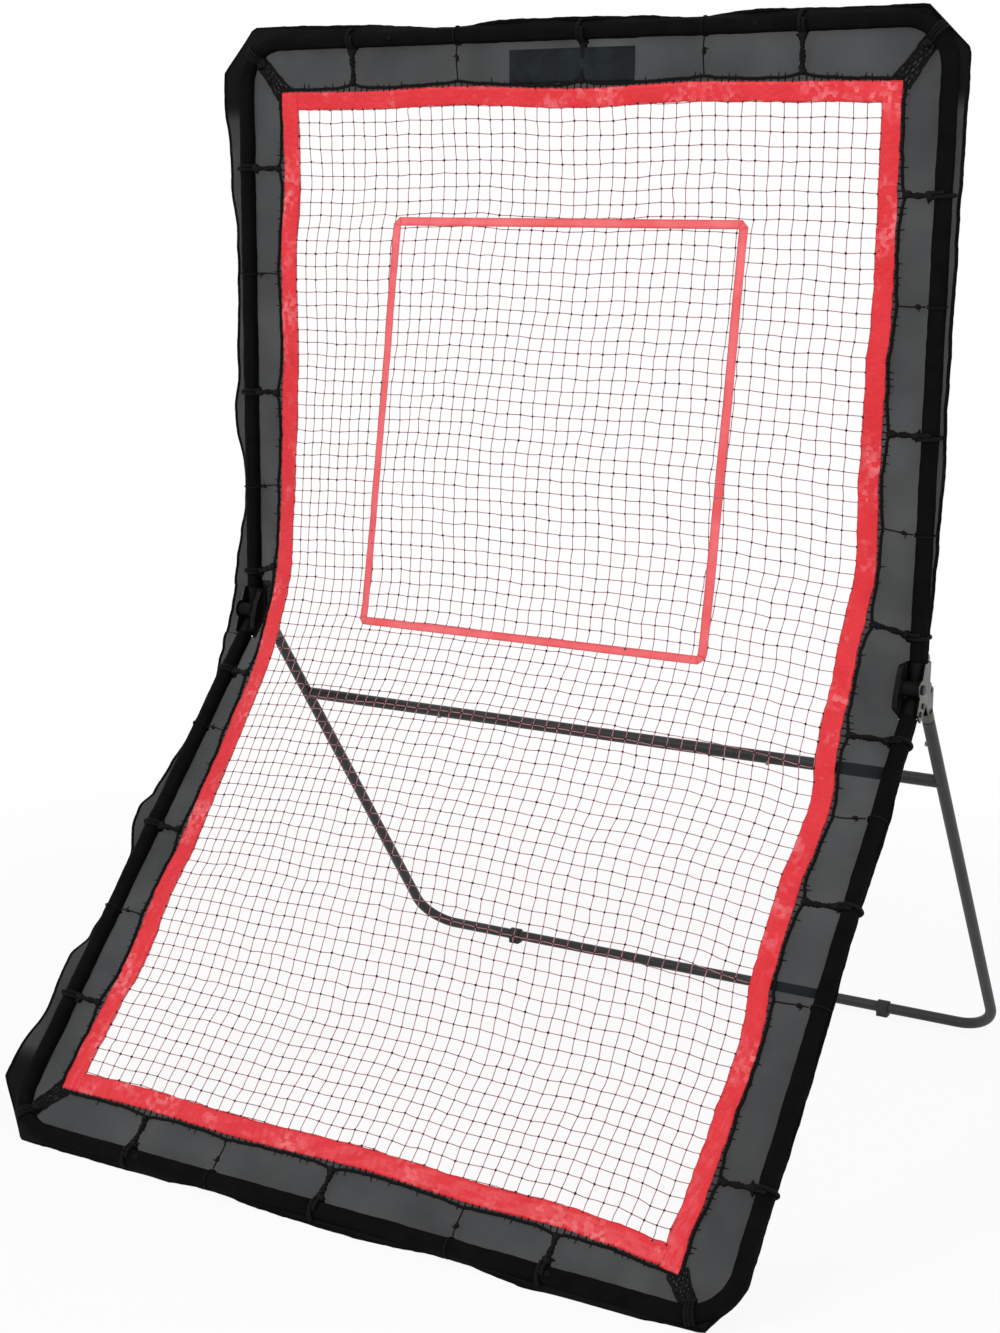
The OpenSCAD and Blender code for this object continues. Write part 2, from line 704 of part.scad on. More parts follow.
module panel_ties(left_list, right_list, bar_list, len, bar_gap) {
    side_reach = side_x - rope_x;
    for (i = [0 : len(left_list) - 1])
        at_side_ties(left_list, -1, i)
            tie(i, side_reach, net_rise(left_list[i]), net_slope(left_list[i]));
    for (i = [0 : len(right_list) - 1])
        at_side_ties(right_list, 1, i)
            tie(i, side_reach, net_rise(right_list[i]), net_slope(right_list[i]));
    for (i = [0 : len(bar_list) - 1]) at_bar_ties(bar_list, len, i) tie(i, bar_gap - 2 * rope_r);
    to_corner = [side_x - rope_x - corner_r * (1 - cos(45)),
                 bar_gap - 2 * rope_r - corner_r * (1 - sin(45))];
    at_corner(len)
        tie(0, norm(to_corner), aim = atan2(to_corner[1], to_corner[0]) - 45, room = corner_room);
}

module ties_upper() color(elastic) upper_panel()
    panel_ties(ties_upper_left, ties_upper_right, ties_top, upper_len, top_gap);
module ties_lower() color(elastic) lower_panel()
    panel_ties(ties_lower_left, ties_lower_right, ties_bottom, lower_len, bottom_gap);

// the cover

// the cloth across a tube: a sleeve, the web towards the net and the hem outside
module web_profile(web) {
    meet = sqrt(pow(sleeve_in + cloth_t / 2, 2) - pow(web_w + cloth_t / 2, 2));
    translate([-web, web_w]) square([web - meet, cloth_t]);
}
module sleeve_profile(hem) {
    difference() {
        circle(sleeve_out);
        circle(sleeve_in);
    }
    translate([sleeve_in + cloth_t / 2, -cloth_t / 2]) square([hem - sleeve_in - cloth_t / 2, cloth_t]);
    edge = min(hem_w, hem - sleeve_out - 1);
    translate([hem - edge, -hem_t / 2]) square([edge, hem_t]);
}
module cover_profile(web, hem) {
    sleeve_profile(hem);
    web_profile(web);
}

module side_rooms(left_list, right_list) {
    for (i = [0 : len(left_list) - 1]) at_side_ties(left_list, -1, i) tie_room(i);
    for (i = [0 : len(right_list) - 1]) at_side_ties(right_list, 1, i) tie_room(i);
}

module cover_panel(left_list, right_list, bar_list, len, web_bar, hem_bar, joint) {
    difference() {
        union() {
            both() {
                translate([side_x, len - corner_r, 0]) rotate([90, 0, 0])
                    linear_extrude(len - corner_r - sleeve_start) sleeve_profile(hem_side);
                translate([side_x, len - corner_r, 0]) rotate([90, 0, 0])
                    linear_extrude(len - corner_r - net_leave) web_profile(web_side);
                translate([side_x - corner_r, len - corner_r, 0]) rotate_extrude(angle = 90)
                    translate([corner_r, 0]) cover_profile(web_side, hem_bar);
            }
            translate([0, len, 0]) along_x(corner_r - side_x, 2 * (side_x - corner_r))
                cover_profile(web_bar, hem_bar);
        }
        side_rooms(left_list, right_list);
        for (i = [0 : len(bar_list) - 1]) at_bar_ties(bar_list, len, i) tie_room(i);
        at_corner(len) tie_room(0, corner_room);
        both() translate([0, len, 0]) button_hole(joint + button_in, button_r + button_clear);
    }
}

module cover_upper() color(cloth) upper_panel()
    cover_panel(ties_upper_left, ties_upper_right, ties_top, upper_len, web_top, hem_top, top_joint);
module cover_lower() color(cloth) lower_panel()
    cover_panel(ties_lower_left, ties_lower_right, ties_bottom, lower_len, web_bottom, hem_bottom,
                bottom_joint);

// the cloth from the tubes to the curved part of the net, and the hem past the hinge
bend_turn = deflect / 2;
bend_reach = sleeve_start - 0.8;
cloth_push = cloth_t * [0, -cos(bend_turn + upper_lean), -sin(bend_turn + upper_lean)];
hinge_side = side_x - cheek_out - pin_head - 1.5;
sleeve_side = side_x - sleeve_out - 0.4;

// places along the panel, from where the net lies flat to the fold: along the sleeve, then the hinge
sleeve_places = [for (k = [10 : -1 : 0]) sleeve_start + 0.2 + (net_leave - sleeve_start - 0.2) * k / 10];
hinge_places = [cheek_reach + 1, cheek_reach / 2];

function tube_edge(s, x, w, up) =
    let (p = s <= 0 ? at_upper(w * tan(bend_turn), w) : up ? at_upper(s, w) : at_lower(s, w))
    [x, p[0], p[1]];
// the strip's edge behind the net, level with the place s on the tube
function net_edge(s, up) =
    let (a = bend_turn * (1 - s / net_leave), r = bend_r - web_w,
         t = net_leave - r * sin(a), w = bend_r - r * cos(a), p = up ? at_upper(t, w) : at_lower(t, w))
    [rope_x, p[0], p[1]];
function outer_half(up) = concat([for (s = sleeve_places) tube_edge(s, sleeve_side, web_w, up)],
                                 [for (s = hinge_places) tube_edge(s, hinge_side, web_w, up)]);
function inner_half(up) = [for (s = concat(sleeve_places, hinge_places)) net_edge(s, up)];
function turned(list) = [for (i = [len(list) - 1 : -1 : 0]) list[i]];
outer_edge = concat(outer_half(true), [tube_edge(0, hinge_side, web_w, true)], turned(outer_half(false)));
inner_edge = concat(inner_half(true), [net_edge(0, true)], turned(inner_half(false)));
function hem_edge(x) = [tube_edge(bend_reach, x, -cloth_t / 2, true), tube_edge(0, x, -cloth_t / 2, true),
                        tube_edge(bend_reach, x, -cloth_t / 2, false)];

// a strip of cloth between two edges of the same number of points
module ribbon(a, b, push) {
    n = len(a);
    polyhedron(
        concat(a, b, [for (p = a) p + push], [for (p = b) p + push]),
        concat([for (i = [0 : n - 2]) each [[i, n + i + 1, i + 1], [i, n + i, n + i + 1],
                   [2 * n + i, 2 * n + i + 1, 3 * n + i + 1], [2 * n + i, 3 * n + i + 1, 3 * n + i],
                   [i, i + 1, 2 * n + i + 1], [i, 2 * n + i + 1, 2 * n + i],
                   [n + i, 3 * n + i + 1, n + i + 1], [n + i, 3 * n + i, 3 * n + i + 1]]],
               [[0, 2 * n, 3 * n], [0, 3 * n, n],
                [n - 1, 4 * n - 1, 3 * n - 1], [n - 1, 2 * n - 1, 4 * n - 1]]));
}

module cover_bend() color(cloth) {
    difference() {
        translate([0, fold_y, fold_z]) both() ribbon(outer_edge, inner_edge, cloth_push);
        upper_panel() side_rooms(ties_upper_left, ties_upper_right);
        lower_panel() side_rooms(ties_lower_left, ties_lower_right);
    }
    translate([0, fold_y, fold_z]) both()
        ribbon(hem_edge(side_x + hem_side), hem_edge(side_x + cheek_out + pin_head + 1.5), cloth_push);
}

module label_patch() color(elastic) upper_panel()
    translate([-label_w / 2, upper_len - web_top + 1, web_w + cloth_t])
        cube([label_w, label_h, cloth_t]);

// the snap buttons and their springs

module bar_button(x, side) mirror([side < 0 ? 1 : 0, 0, 0]) translate([x, 0, 0]) button(tube_r);
module top_button(side) color(zinc) upper_panel() translate([0, upper_len, 0])
    bar_button(top_joint + button_in, side);
module bottom_button(side) color(zinc) lower_panel() translate([0, lower_len, 0])
    bar_button(bottom_joint + button_in, side);
module leg_button(side) color(zinc) leg_frame() translate([side * side_x, stub_button, -leg_offset])
    rotate([0, -side * 90, 0]) button(leg_r);
module crossbar_button(side) color(zinc) leg_frame() translate([0, crossbar_at, -leg_offset])
    mirror([side < 0 ? 1 : 0, 0, 0]) mirror([0, 0, 1]) translate([crossbar_joint + button_in, 0, 0])
        button(crossbar_r);

module snap_springs_upper() color(zinc) upper_panel() both()
    translate([top_joint + button_in, upper_len, 0]) snap_spring(tube_in - slide_fit - wall);
module snap_springs_lower() color(zinc) lower_panel() both()
    translate([bottom_joint + button_in, lower_len, 0]) snap_spring(tube_in - slide_fit - wall);
module snap_springs_leg() color(zinc) leg_frame() {
    both() translate([crossbar_joint + button_in, crossbar_at, -leg_offset]) mirror([0, 0, 1])
        snap_spring(crossbar_r - wall - slide_fit - wall);
    both() translate([side_x, stub_button, -leg_offset]) rotate([0, -90, 0]) rotate([0, 0, 90])
        snap_spring(stub_r - wall);
}

color(black_steel) lower_panel() left() side_tube(lower_len, tube_head, bottom_joint, lower_rivets);  // lower_tube_left
color(black_steel) lower_panel() side_tube(lower_len, tube_head, bottom_joint, lower_rivets);  // lower_tube_right
color(black_steel) lower_panel() translate([0, lower_len, 0]) plug_bar(bottom_joint, tube_r, tube_in);  // bottom_bar
hinge_housing(-1);  // hinge_housing_left
hinge_housing(1);  // hinge_housing_right
fold_pins();
housing_rivets();
ratchet_plate(-1);  // ratchet_plate_left
ratchet_plate(1);  // ratchet_plate_right
ratchet_gear(-1);  // ratchet_gear_left
ratchet_gear(1);  // ratchet_gear_right
ratchet_pivots();
net_lower();
border_tape_lower();
ties_lower();
cover_lower();
net_bend();
border_tape_bend();
zone_tape_bend();
cover_bend();
snap_springs_lower();
color(black_steel) upper_panel() left() side_tube(upper_len, tube_foot, top_joint, [arm_rivet_s]);  // upper_tube_left
color(black_steel) upper_panel() side_tube(upper_len, tube_foot, top_joint, [arm_rivet_s]);  // upper_tube_right
color(black_steel) upper_panel() translate([0, upper_len, 0]) plug_bar(top_joint, tube_r, tube_in);  // top_bar
hinge_arm(-1);  // hinge_arm_left
hinge_arm(1);  // hinge_arm_right
arm_rivets();
net_upper();
border_tape_upper();
zone_tape_upper();
ties_upper();
cover_upper();
label_patch();
snap_springs_upper();
leg_tube(-1);  // leg_tube_left
leg_tube(1);  // leg_tube_right
color(grey_steel) leg_frame() left() crossbar_stub();  // crossbar_stub_left
color(grey_steel) leg_frame() crossbar_stub();  // crossbar_stub_right
crossbar();
leg_base();
foot(-1);  // foot_left
foot(1);  // foot_right
leg_stub(-1);  // leg_stub_left
leg_stub(1);  // leg_stub_right
ratchet_socket(-1);  // ratchet_socket_left
ratchet_socket(1);  // ratchet_socket_right
pawl_pins();
pawl_springs();
snap_springs_leg();
pawl(-1);  // pawl_left
pawl(1);  // pawl_right
top_button(-1);  // snap_button_top_left
top_button(1);  // snap_button_top_right
bottom_button(-1);  // snap_button_bottom_left
bottom_button(1);  // snap_button_bottom_right
leg_button(-1);  // snap_button_leg_left
leg_button(1);  // snap_button_leg_right
crossbar_button(-1);  // snap_button_crossbar_left
crossbar_button(1);  // snap_button_crossbar_right
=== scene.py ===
"""The looks of a pitching target net: a bent steel frame, a net laced into it, and its cloth cover."""

import math
import random
from functools import partial

import bmesh
import bpy
import numpy as np
from mathutils import Matrix, Vector


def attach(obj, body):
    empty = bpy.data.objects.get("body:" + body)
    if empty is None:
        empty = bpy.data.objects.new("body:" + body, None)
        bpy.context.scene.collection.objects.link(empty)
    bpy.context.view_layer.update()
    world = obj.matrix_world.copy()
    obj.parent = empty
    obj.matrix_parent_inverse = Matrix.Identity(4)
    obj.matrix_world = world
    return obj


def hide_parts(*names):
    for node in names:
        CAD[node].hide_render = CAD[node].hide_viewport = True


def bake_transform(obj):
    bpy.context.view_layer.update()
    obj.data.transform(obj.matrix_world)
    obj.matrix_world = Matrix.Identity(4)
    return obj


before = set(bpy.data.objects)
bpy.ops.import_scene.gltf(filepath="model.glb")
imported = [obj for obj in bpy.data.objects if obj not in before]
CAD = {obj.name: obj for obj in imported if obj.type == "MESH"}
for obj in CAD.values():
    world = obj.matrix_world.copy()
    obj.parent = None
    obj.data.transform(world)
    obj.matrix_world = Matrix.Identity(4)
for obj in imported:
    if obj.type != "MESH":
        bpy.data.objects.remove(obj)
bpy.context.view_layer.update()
SCENE = bpy.context.scene
SCENE.view_settings.view_transform = "Standard"
MM = 0.001
MATH = "ShaderNodeMath"

# -------- sizes, mm, as in the CAD source

LEFT, RIGHT = -1, 1
PANELS = ("upper", "lower")
EDGES = (LEFT, RIGHT, "upper", "lower")
FOLD = np.array([0, 10.9655, 645.889])                   # the axis of the fold hinges
SLOPE = {"upper": math.radians(92.1), "lower": math.radians(48.4)}
TURN = SLOPE["upper"] - SLOPE["lower"]
LENGTH = {"upper": 839.0, "lower": 845.0}                # of a side tube, from the fold to its bar
SIDE_X, TUBE_R, CORNER_R = 523.5, 10.0, 60.0
CORNER_X = SIDE_X - CORNER_R                             # where the bends of the tubes start
CORNER_S = {which: LENGTH[which] - CORNER_R for which in PANELS}
NET_END = {"upper": 770.0, "lower": 790.0}               # the net's ends, from the fold
NET_LEAVE, NET_HALF = 311.0, 463.0                       # where its edge leaves a panel; half its width
SLEEVE_R, SLEEVE_START = 11.3, 41.0
WEB_IN, WEB_W = 8.6, -6.0                                # the web's outer edge, from the tubes' line
WEB_LAP, WEB_BEHIND = 5.0, -4.0                          # its inner edge, from the tape's edge and the net
CHEEK_OUT = 14.0                                         # the hinge housing's cheek, from the tube's line
BESIDE_HINGE = CHEEK_OUT + 0.7                           # where the cloth passes the housing
PAST_HINGE = np.linspace(SLEEVE_START - 0.8, 0, 4)[:-1]  # places along a tube between sleeve and fold
TIES = {   # places along the tubes; even ones are thick
    "upper": {LEFT: [66, 195, 338, 512, 664], RIGHT: [74, 205, 330, 492, 628],
              "bar": [-339, -168, 23, 199, 333]},
    "lower": {LEFT: [109, 207, 378, 515, 654], RIGHT: [80, 194, 320, 456, 687],
              "bar": [-320, -189, -26, 166, 292]},
}
UNDER_LABEL = TIES["upper"]["bar"][2]                    # the tie that runs behind the label
THICK_PULL, THIN_PULL, PULL_FADES = 7.0, 3.5, 20.0       # how far ties draw the rope out, and fade along it
ROPE_GAP, ROPE_OUT = 3.2, 0.5                            # the rope's place, past the tape and in front
TAPE = {LEFT: 27.0, RIGHT: 25.0, "upper": 25.5, "lower": 27.5}   # widths of the border tape
WIDER = {LEFT: 3.5}                                      # what the left tape gains along its middle
MESH = 18.7                                              # the net's cord spacing
COLUMNS, ROWS = 47, 80

# -------- small helpers


def add(tree, kind, inputs=None, **settings):
    """adds a node; inputs maps a socket to a value, a socket or a node, which gives its first output"""
    made = tree.nodes.new(kind)
    for key, value in settings.items():
        setattr(made, key, value)
    for key, value in (inputs or {}).items():
        if isinstance(value, bpy.types.Node):
            value = value.outputs[0]
        if isinstance(value, bpy.types.NodeSocket):
            tree.links.new(value, made.inputs[key])
        else:
            made.inputs[key].default_value = value
    return made


def linear(code):
    """an sRGB hex colour as the linear values that a shader takes"""
    parts = [int(code[k:k + 2], 16) / 255 for k in (1, 3, 5)]
    return tuple(c / 12.92 if c <= 0.04045 else ((c + 0.055) / 1.055) ** 2.4 for c in parts) + (1.0,)


RIPPLES, CREASES = 4, 6     # how many waves add up in each


def ripple(t, length, seed):
    """smooth uneven waves along a distance, roughly between -1 and 1"""
    draw = random.Random(seed)
    total = np.zeros(np.shape(t))
    for k in range(RIPPLES):
        pitch = length * draw.uniform(0.7, 1.3) * math.pow(0.62, k)
        phase = draw.uniform(0, math.tau)
        total = total + math.pow(0.75, k) * np.sin(np.asarray(t) * math.tau / pitch + phase)
    return total / 1.8


def creases(u, v, length, seed):
    """smooth uneven waves over a surface, roughly between -1 and 1"""
    draw = random.Random(seed)
    total = np.zeros(np.broadcast(u, v).shape)
    for _ in range(CREASES):
        heading, pitch = draw.uniform(0, math.pi), length * draw.uniform(0.45, 1.4)
        total = total + np.sin((u * math.cos(heading) + v * math.sin(heading)) * math.tau / pitch
                               + draw.uniform(0, math.tau))
    return total / math.sqrt(CREASES) / 1.3


def through(t, *knots):
    """a smooth line through (place, value) pairs, level at each of them"""
    t = np.asarray(t, float)
    at, value = np.array(knots, float).T
    k = np.clip(np.searchsorted(at, t) - 1, 0, len(at) - 2)
    share = np.clip((t - at[k]) / (at[k + 1] - at[k]), 0, 1)
    share = share * share * (3 - 2 * share)
    return value[k] * (1 - share) + value[k + 1] * share


def distances(points):
    """how far each point lies along the line through them all"""
    return np.concatenate([[0], np.cumsum(np.linalg.norm(np.diff(points, axis=0), axis=1))])


def piece(name, points, faces, uv, material, shade=True):
    """a mesh object from points in mm"""
    mesh = bpy.data.meshes.new(name)
    mesh.from_pydata((np.asarray(points, float) * MM).tolist(), [], [list(f) for f in faces])
    if uv is not None:
        layer = mesh.uv_layers.new(name="UVMap")
        index = np.zeros(len(mesh.loops), int)
        mesh.loops.foreach_get("vertex_index", index)
        layer.data.foreach_set("uv", np.asarray(uv, float)[index].ravel())
    work = bmesh.new()
    work.from_mesh(mesh)
    bmesh.ops.recalc_face_normals(work, faces=work.faces)
    work.to_mesh(mesh)
    work.free()
    mesh.polygons.foreach_set("use_smooth", [shade] * len(mesh.polygons))
    mesh.materials.append(material)
    made = bpy.data.objects.new(name, mesh)
    SCENE.collection.objects.link(made)
    return made


def slab(front, back, loop=False, around=False):
    """a closed skin round two grids of points, whose rows may meet in a loop and whose columns may go
    around a tube: returns points, faces and a flat map in metres"""
    rows, cols = front.shape[:2]
    points = np.concatenate([front.reshape(-1, 3), back.reshape(-1, 3)])
    at = np.arange(rows * cols).reshape(rows, cols)
    under = at + rows * cols
    steps = [(j, (j + 1) % cols) for j in range(cols if around else cols - 1)]
    faces = []
    for i in range(rows if loop else rows - 1):
        k = (i + 1) % rows
        for j, m in steps:
            faces.append((at[i, j], at[k, j], at[k, m], at[i, m]))
            faces.append((under[i, j], under[i, m], under[k, m], under[k, j]))
        if not around:
            faces.append((at[i, 0], under[i, 0], under[k, 0], at[k, 0]))
            faces.append((at[i, -1], at[k, -1], under[k, -1], under[i, -1]))
    if not loop:
        for j, m in steps:
            faces.append((at[0, j], at[0, m], under[0, m], under[0, j]))
            faces.append((at[-1, j], under[-1, j], under[-1, m], at[-1, m]))
    along = np.zeros((rows, cols))
    along[1:] = np.cumsum(np.linalg.norm(np.diff(front, axis=0), axis=2).mean(1))[:, None]
    across = np.zeros((rows, cols))
    across[:, 1:] = np.cumsum(np.linalg.norm(np.diff(front, axis=1), axis=2), axis=1)
    flat = np.stack([across, along], -1).reshape(-1, 2) * MM
    return points, faces, np.concatenate([flat, flat])


def joined(parts):
    """several slabs as one set of points, faces and flat map"""
    points, faces, flat, base = [], [], [], 0
    for some, skin, spread in parts:
        points.append(some)
        faces += [tuple(int(k) + base for k in face) for face in skin]
        flat.append(spread)
        base += len(some)
    return np.concatenate(points), faces, np.concatenate(flat)


# -------- node trees for what repeats


def guide(name, paths, thickness=None):
    """a mesh of open lines through points in mm, or of single points, for the node trees to grow on"""
    mesh = bpy.data.meshes.new(name)
    points, edges, base = [], [], 0
    for path in paths:
        points.append(np.asarray(path, float))
        edges += [(base + k, base + k + 1) for k in range(len(path) - 1)]
        base += len(path)
    mesh.from_pydata((np.concatenate(points) * MM).tolist(), edges, [])
    width = mesh.attributes.new("thickness", "FLOAT", "POINT")
    width.data.foreach_set("value", np.ones(base) if thickness is None else np.concatenate(thickness))
    return mesh


def grow(name, mesh, tree, **values):
    """the plain mesh that a node tree grows on a guide"""
    made = bpy.data.objects.new(name, mesh)
    SCENE.collection.objects.link(made)
    growth = made.modifiers.new("growth", "NODES")
    growth.node_group = tree
    for item in tree.interface.items_tree:
        key = item.name.lower().replace(" ", "_")
        if item.item_type == "SOCKET" and item.in_out == "INPUT" and key in values:
            growth[item.identifier] = values[key]
    depsgraph = bpy.context.evaluated_depsgraph_get()
    result = bpy.data.meshes.new_from_object(made.evaluated_get(depsgraph))
    made.modifiers.clear()
    made.data = result
    result.name = name
    return made


def tree_with(name, **sizes):
    """an empty geometry tree with an input for each size and one for the material: it and its inputs"""
    tree = bpy.data.node_groups.new(name, "GeometryNodeTree")

    def socket(title, kind, way="INPUT"):
        return tree.interface.new_socket(title, in_out=way, socket_type="NodeSocket" + kind)
    socket("Geometry", "Geometry")
    for key, value in sizes.items():
        kind = "Int" if isinstance(value, int) else "Float"
        socket(key.replace("_", " ").capitalize(), kind).default_value = value
    socket("Material", "Material")
    socket("Geometry", "Geometry", "OUTPUT")
    return tree, tree.nodes.new("NodeGroupInput").outputs


def end_tree(tree, given, shape):
    """the last steps of every tree: real pieces, shaded smooth, in the given material"""
    real = add(tree, "GeometryNodeRealizeInstances", {"Geometry": shape})
    soft = add(tree, "GeometryNodeSetShadeSmooth", {0: real, "Shade Smooth": True})
    done = add(tree, "GeometryNodeSetMaterial", {"Geometry": soft, "Material": given["Material"]})
    tree.links.new(done.outputs[0], tree.nodes.new("NodeGroupOutput").inputs[0])
    return tree


def swept(tree, lines, diameter, sides):
    """a round section carried along lines, swelled by the guide's own thickness"""
    node = partial(add, tree)
    width = node("GeometryNodeInputNamedAttribute", {"Name": "thickness"}, data_type="FLOAT")
    sized = node("GeometryNodeSetCurveRadius", {"Curve": lines, "Radius": width})
    half = node(MATH, {0: diameter, 1: 0.5}, operation="MULTIPLY")
    ring = node("GeometryNodeCurvePrimitiveCircle", {"Resolution": sides, "Radius": half}, mode="RADIUS")
    return node("GeometryNodeCurveToMesh", {"Curve": sized, "Profile Curve": ring, "Scale": width,
                                            "Fill Caps": True})


def cord_tree():
    """round cords along the guide's lines"""
    tree, given = tree_with("laid cords", diameter=1.2 * MM, sides=5)
    line = add(tree, "GeometryNodeMeshToCurve", {"Mesh": given["Geometry"]})
    return end_tree(tree, given, swept(tree, line, given["Diameter"], given["Sides"]))


def twist_tree():
    """strands wound round the guide's lines, as in a laid rope or a wrung elastic"""
    tree, given = tree_with("twisted strands", strands=3, strand_diameter=2 * MM, lay_radius=1.2 * MM,
                            turns_per_metre=90.0, step=1.5 * MM, sides=5)
    node = partial(add, tree)
    line = node("GeometryNodeMeshToCurve", {"Mesh": given["Geometry"]})
    stepped = node("GeometryNodeResampleCurve", {"Curve": line, "Length": given["Step"]}, mode="LENGTH")
    copies = node("GeometryNodeDuplicateElements", {"Geometry": stepped, "Amount": given["Strands"]},
                  domain="SPLINE")
    so_far = node("GeometryNodeSplineParameter").outputs["Length"]
    share = node(MATH, {0: copies.outputs["Duplicate Index"], 1: given["Strands"]}, operation="DIVIDE")
    turns = node(MATH, {0: so_far, 1: given["Turns per metre"]}, operation="MULTIPLY")
    whole = node(MATH, {0: share, 1: turns}, operation="ADD")
    angle = node(MATH, {0: whole, 1: math.tau}, operation="MULTIPLY")
    width = node("GeometryNodeInputNamedAttribute", {"Name": "thickness"}, data_type="FLOAT")
    reach = node(MATH, {0: given["Lay radius"], 1: width}, operation="MULTIPLY")
    normal, tangent = node("GeometryNodeInputNormal"), node("GeometryNodeInputTangent")
    aside = node("ShaderNodeVectorMath", {0: tangent, 1: normal}, operation="CROSS_PRODUCT")
    moves = []
    for way, swing in ((normal, "COSINE"), (aside, "SINE")):
        part = node(MATH, {0: angle}, operation=swing)
        far = node(MATH, {0: reach, 1: part}, operation="MULTIPLY")
        moves.append(node("ShaderNodeVectorMath", {0: way, "Scale": far}, operation="SCALE"))
    both = node("ShaderNodeVectorMath", {0: moves[0], 1: moves[1]}, operation="ADD")
    wound = node("GeometryNodeSetPosition", {"Geometry": copies, "Offset": both})
    return end_tree(tree, given, swept(tree, wound, given["Strand diameter"], given["Sides"]))


def knot_tree():
    """a small lumpy knot on each of the guide's points"""
    tree, given = tree_with("knots on points", size=2.8 * MM, spread=0.2, detail=1, seed=1)
    node = partial(add, tree)
    half = node(MATH, {0: given["Size"], 1: 0.5}, operation="MULTIPLY")
    lump = node("GeometryNodeMeshIcoSphere", {"Radius": half, "Subdivisions": given["Detail"]})
    points = node("GeometryNodeMeshToPoints", {"Mesh": given["Geometry"]})
    turned = node("FunctionNodeRandomValue", {"Min": (0, 0, 0), "Max": (6.28, 6.28, 6.28),
                                              "Seed": given["Seed"]}, data_type="FLOAT_VECTOR")
    least = node(MATH, {0: 1.0, 1: given["Spread"]}, operation="SUBTRACT")
    most = node(MATH, {0: 1.0, 1: given["Spread"]}, operation="ADD")
    lumpy = node("FunctionNodeRandomValue", {"Min": least, "Max": most, "Seed": given["Seed"]},
                 data_type="FLOAT_VECTOR")
    width = node("GeometryNodeInputNamedAttribute", {"Name": "thickness"}, data_type="FLOAT")
    sized = node("ShaderNodeVectorMath", {0: lumpy, "Scale": width}, operation="SCALE")
    placed = node("GeometryNodeInstanceOnPoints", {"Points": points, "Instance": lump,
                                                   "Rotation": turned, "Scale": sized})
    return end_tree(tree, given, placed)


CORDS, TWIST, KNOTS = cord_tree(), twist_tree(), knot_tree()

# -------- where things lie

ACROSS = np.array([1.0, 0, 0])
ALONG = {"upper": np.array([0, math.cos(SLOPE["upper"]), math.sin(SLOPE["upper"])]),
         "lower": np.array([0, -math.cos(SLOPE["lower"]), -math.sin(SLOPE["lower"])])}
AHEAD = {which: np.array([0, -math.sin(slope), math.cos(slope)]) for which, slope in SLOPE.items()}
MID_SLOPE = (SLOPE["upper"] + SLOPE["lower"]) / 2
FOLD_AHEAD = np.array([0, -math.sin(MID_SLOPE), math.cos(MID_SLOPE)])
INWARD = {"upper": 1, "lower": -1}    # from an end of the net, the way in along its path
NET_BULGE = 207.0                     # the middle of the net leaves a panel's plane this much earlier
BOW_LEAST, BOW_MOST = 16.0, 39.0      # how far the net bows forward at the fold, and on each panel
BOW_AT, BOW_FADES = 235.0, 345.0      # the bow's crest from the fold, and how far past it that ends
BOW_FROM_SIDE = 0.675                 # the bow is given for this share of the way to the middle


def on_panel(which, x, s, w):
    """places in front of a panel: x across, s from the fold, w forward"""
    x, s, w = np.broadcast_arrays(np.asarray(x, float), s, w)
    return FOLD + x[..., None] * ACROSS + s[..., None] * ALONG[which] + w[..., None] * AHEAD[which]


def to_middle(x):
    """1 in the middle of the net, and 0 at its sides"""
    return np.clip(1 - (np.asarray(x, float) / NET_HALF) ** 2, 0, 1)


def net_reach(x):
    """how far from the fold the net leaves the panels"""
    return NET_LEAVE + NET_BULGE * to_middle(x)


def net_point(x, along, out):
    """places on the net: x across, along its path down from the upper edge, out in front of it"""
    x, along, out = np.broadcast_arrays(np.asarray(x, float), along, out)
    reach = net_reach(x)
    radius = reach / math.tan(TURN / 2)
    off = np.abs(along - (NET_END["upper"] - reach + radius * TURN / 2))
    near = BOW_LEAST + (BOW_MOST - BOW_LEAST) * np.sin(np.clip(off / BOW_AT, 0, 1) * math.pi / 2)
    far = BOW_MOST * np.cos(np.clip((off - BOW_AT) / BOW_FADES, 0, 1) * math.pi / 2)
    out = out + to_middle(x) / BOW_FROM_SIDE * np.where(off < BOW_AT, near, far)
    turned = (along - (NET_END["upper"] - reach)) / radius
    angle = np.clip(turned, 0, TURN)
    s = np.where(turned < 0, NET_END["upper"] - along, reach - (radius - out) * np.sin(angle))
    w = np.where(turned < 0, out, radius - (radius - out) * np.cos(angle))
    high = on_panel("upper", x, s, w)
    low = on_panel("lower", x, reach + (turned - TURN) * radius, out)
    return np.where((turned > TURN)[..., None], low, high)


def net_length(x):
    """the length of the net's path from end to end"""
    reach = net_reach(x)
    return NET_END["upper"] + NET_END["lower"] - 2 * reach + reach / math.tan(TURN / 2) * TURN


EDGE_LENGTH = float(net_length(NET_HALF))
EDGE_LINE = {   # the border tape's outer edge on each side: the ties draw it out, and it sags between
    LEFT: ((0, -461), (100, -457.5), (250, -466), (350, -464), (500, -468), (600, -464), (700, -453.5),
           (800, -456), (960, -469.5), (1050, -470.5), (1150, -465), (1190, -468), (1340, -461.5),
           (1400, -466), (1500, -469.5)),
    RIGHT: ((0, 464.5), (285, 465.3), (360, 461.3), (500, 460.2), (615, 466), (735, 457), (840, 454.5),
            (925, 462.4), (1050, 452.8), (1150, 453), (1260, 463), (1380, 458.7), (1450, 455.8),
            (1500, 451.5)),
}


def edge_x(side, along):
    """the outer edge of the border tape on one side"""
    return through(along, *EDGE_LINE[side]) + 0.7 * ripple(along, 90, 3 + side)


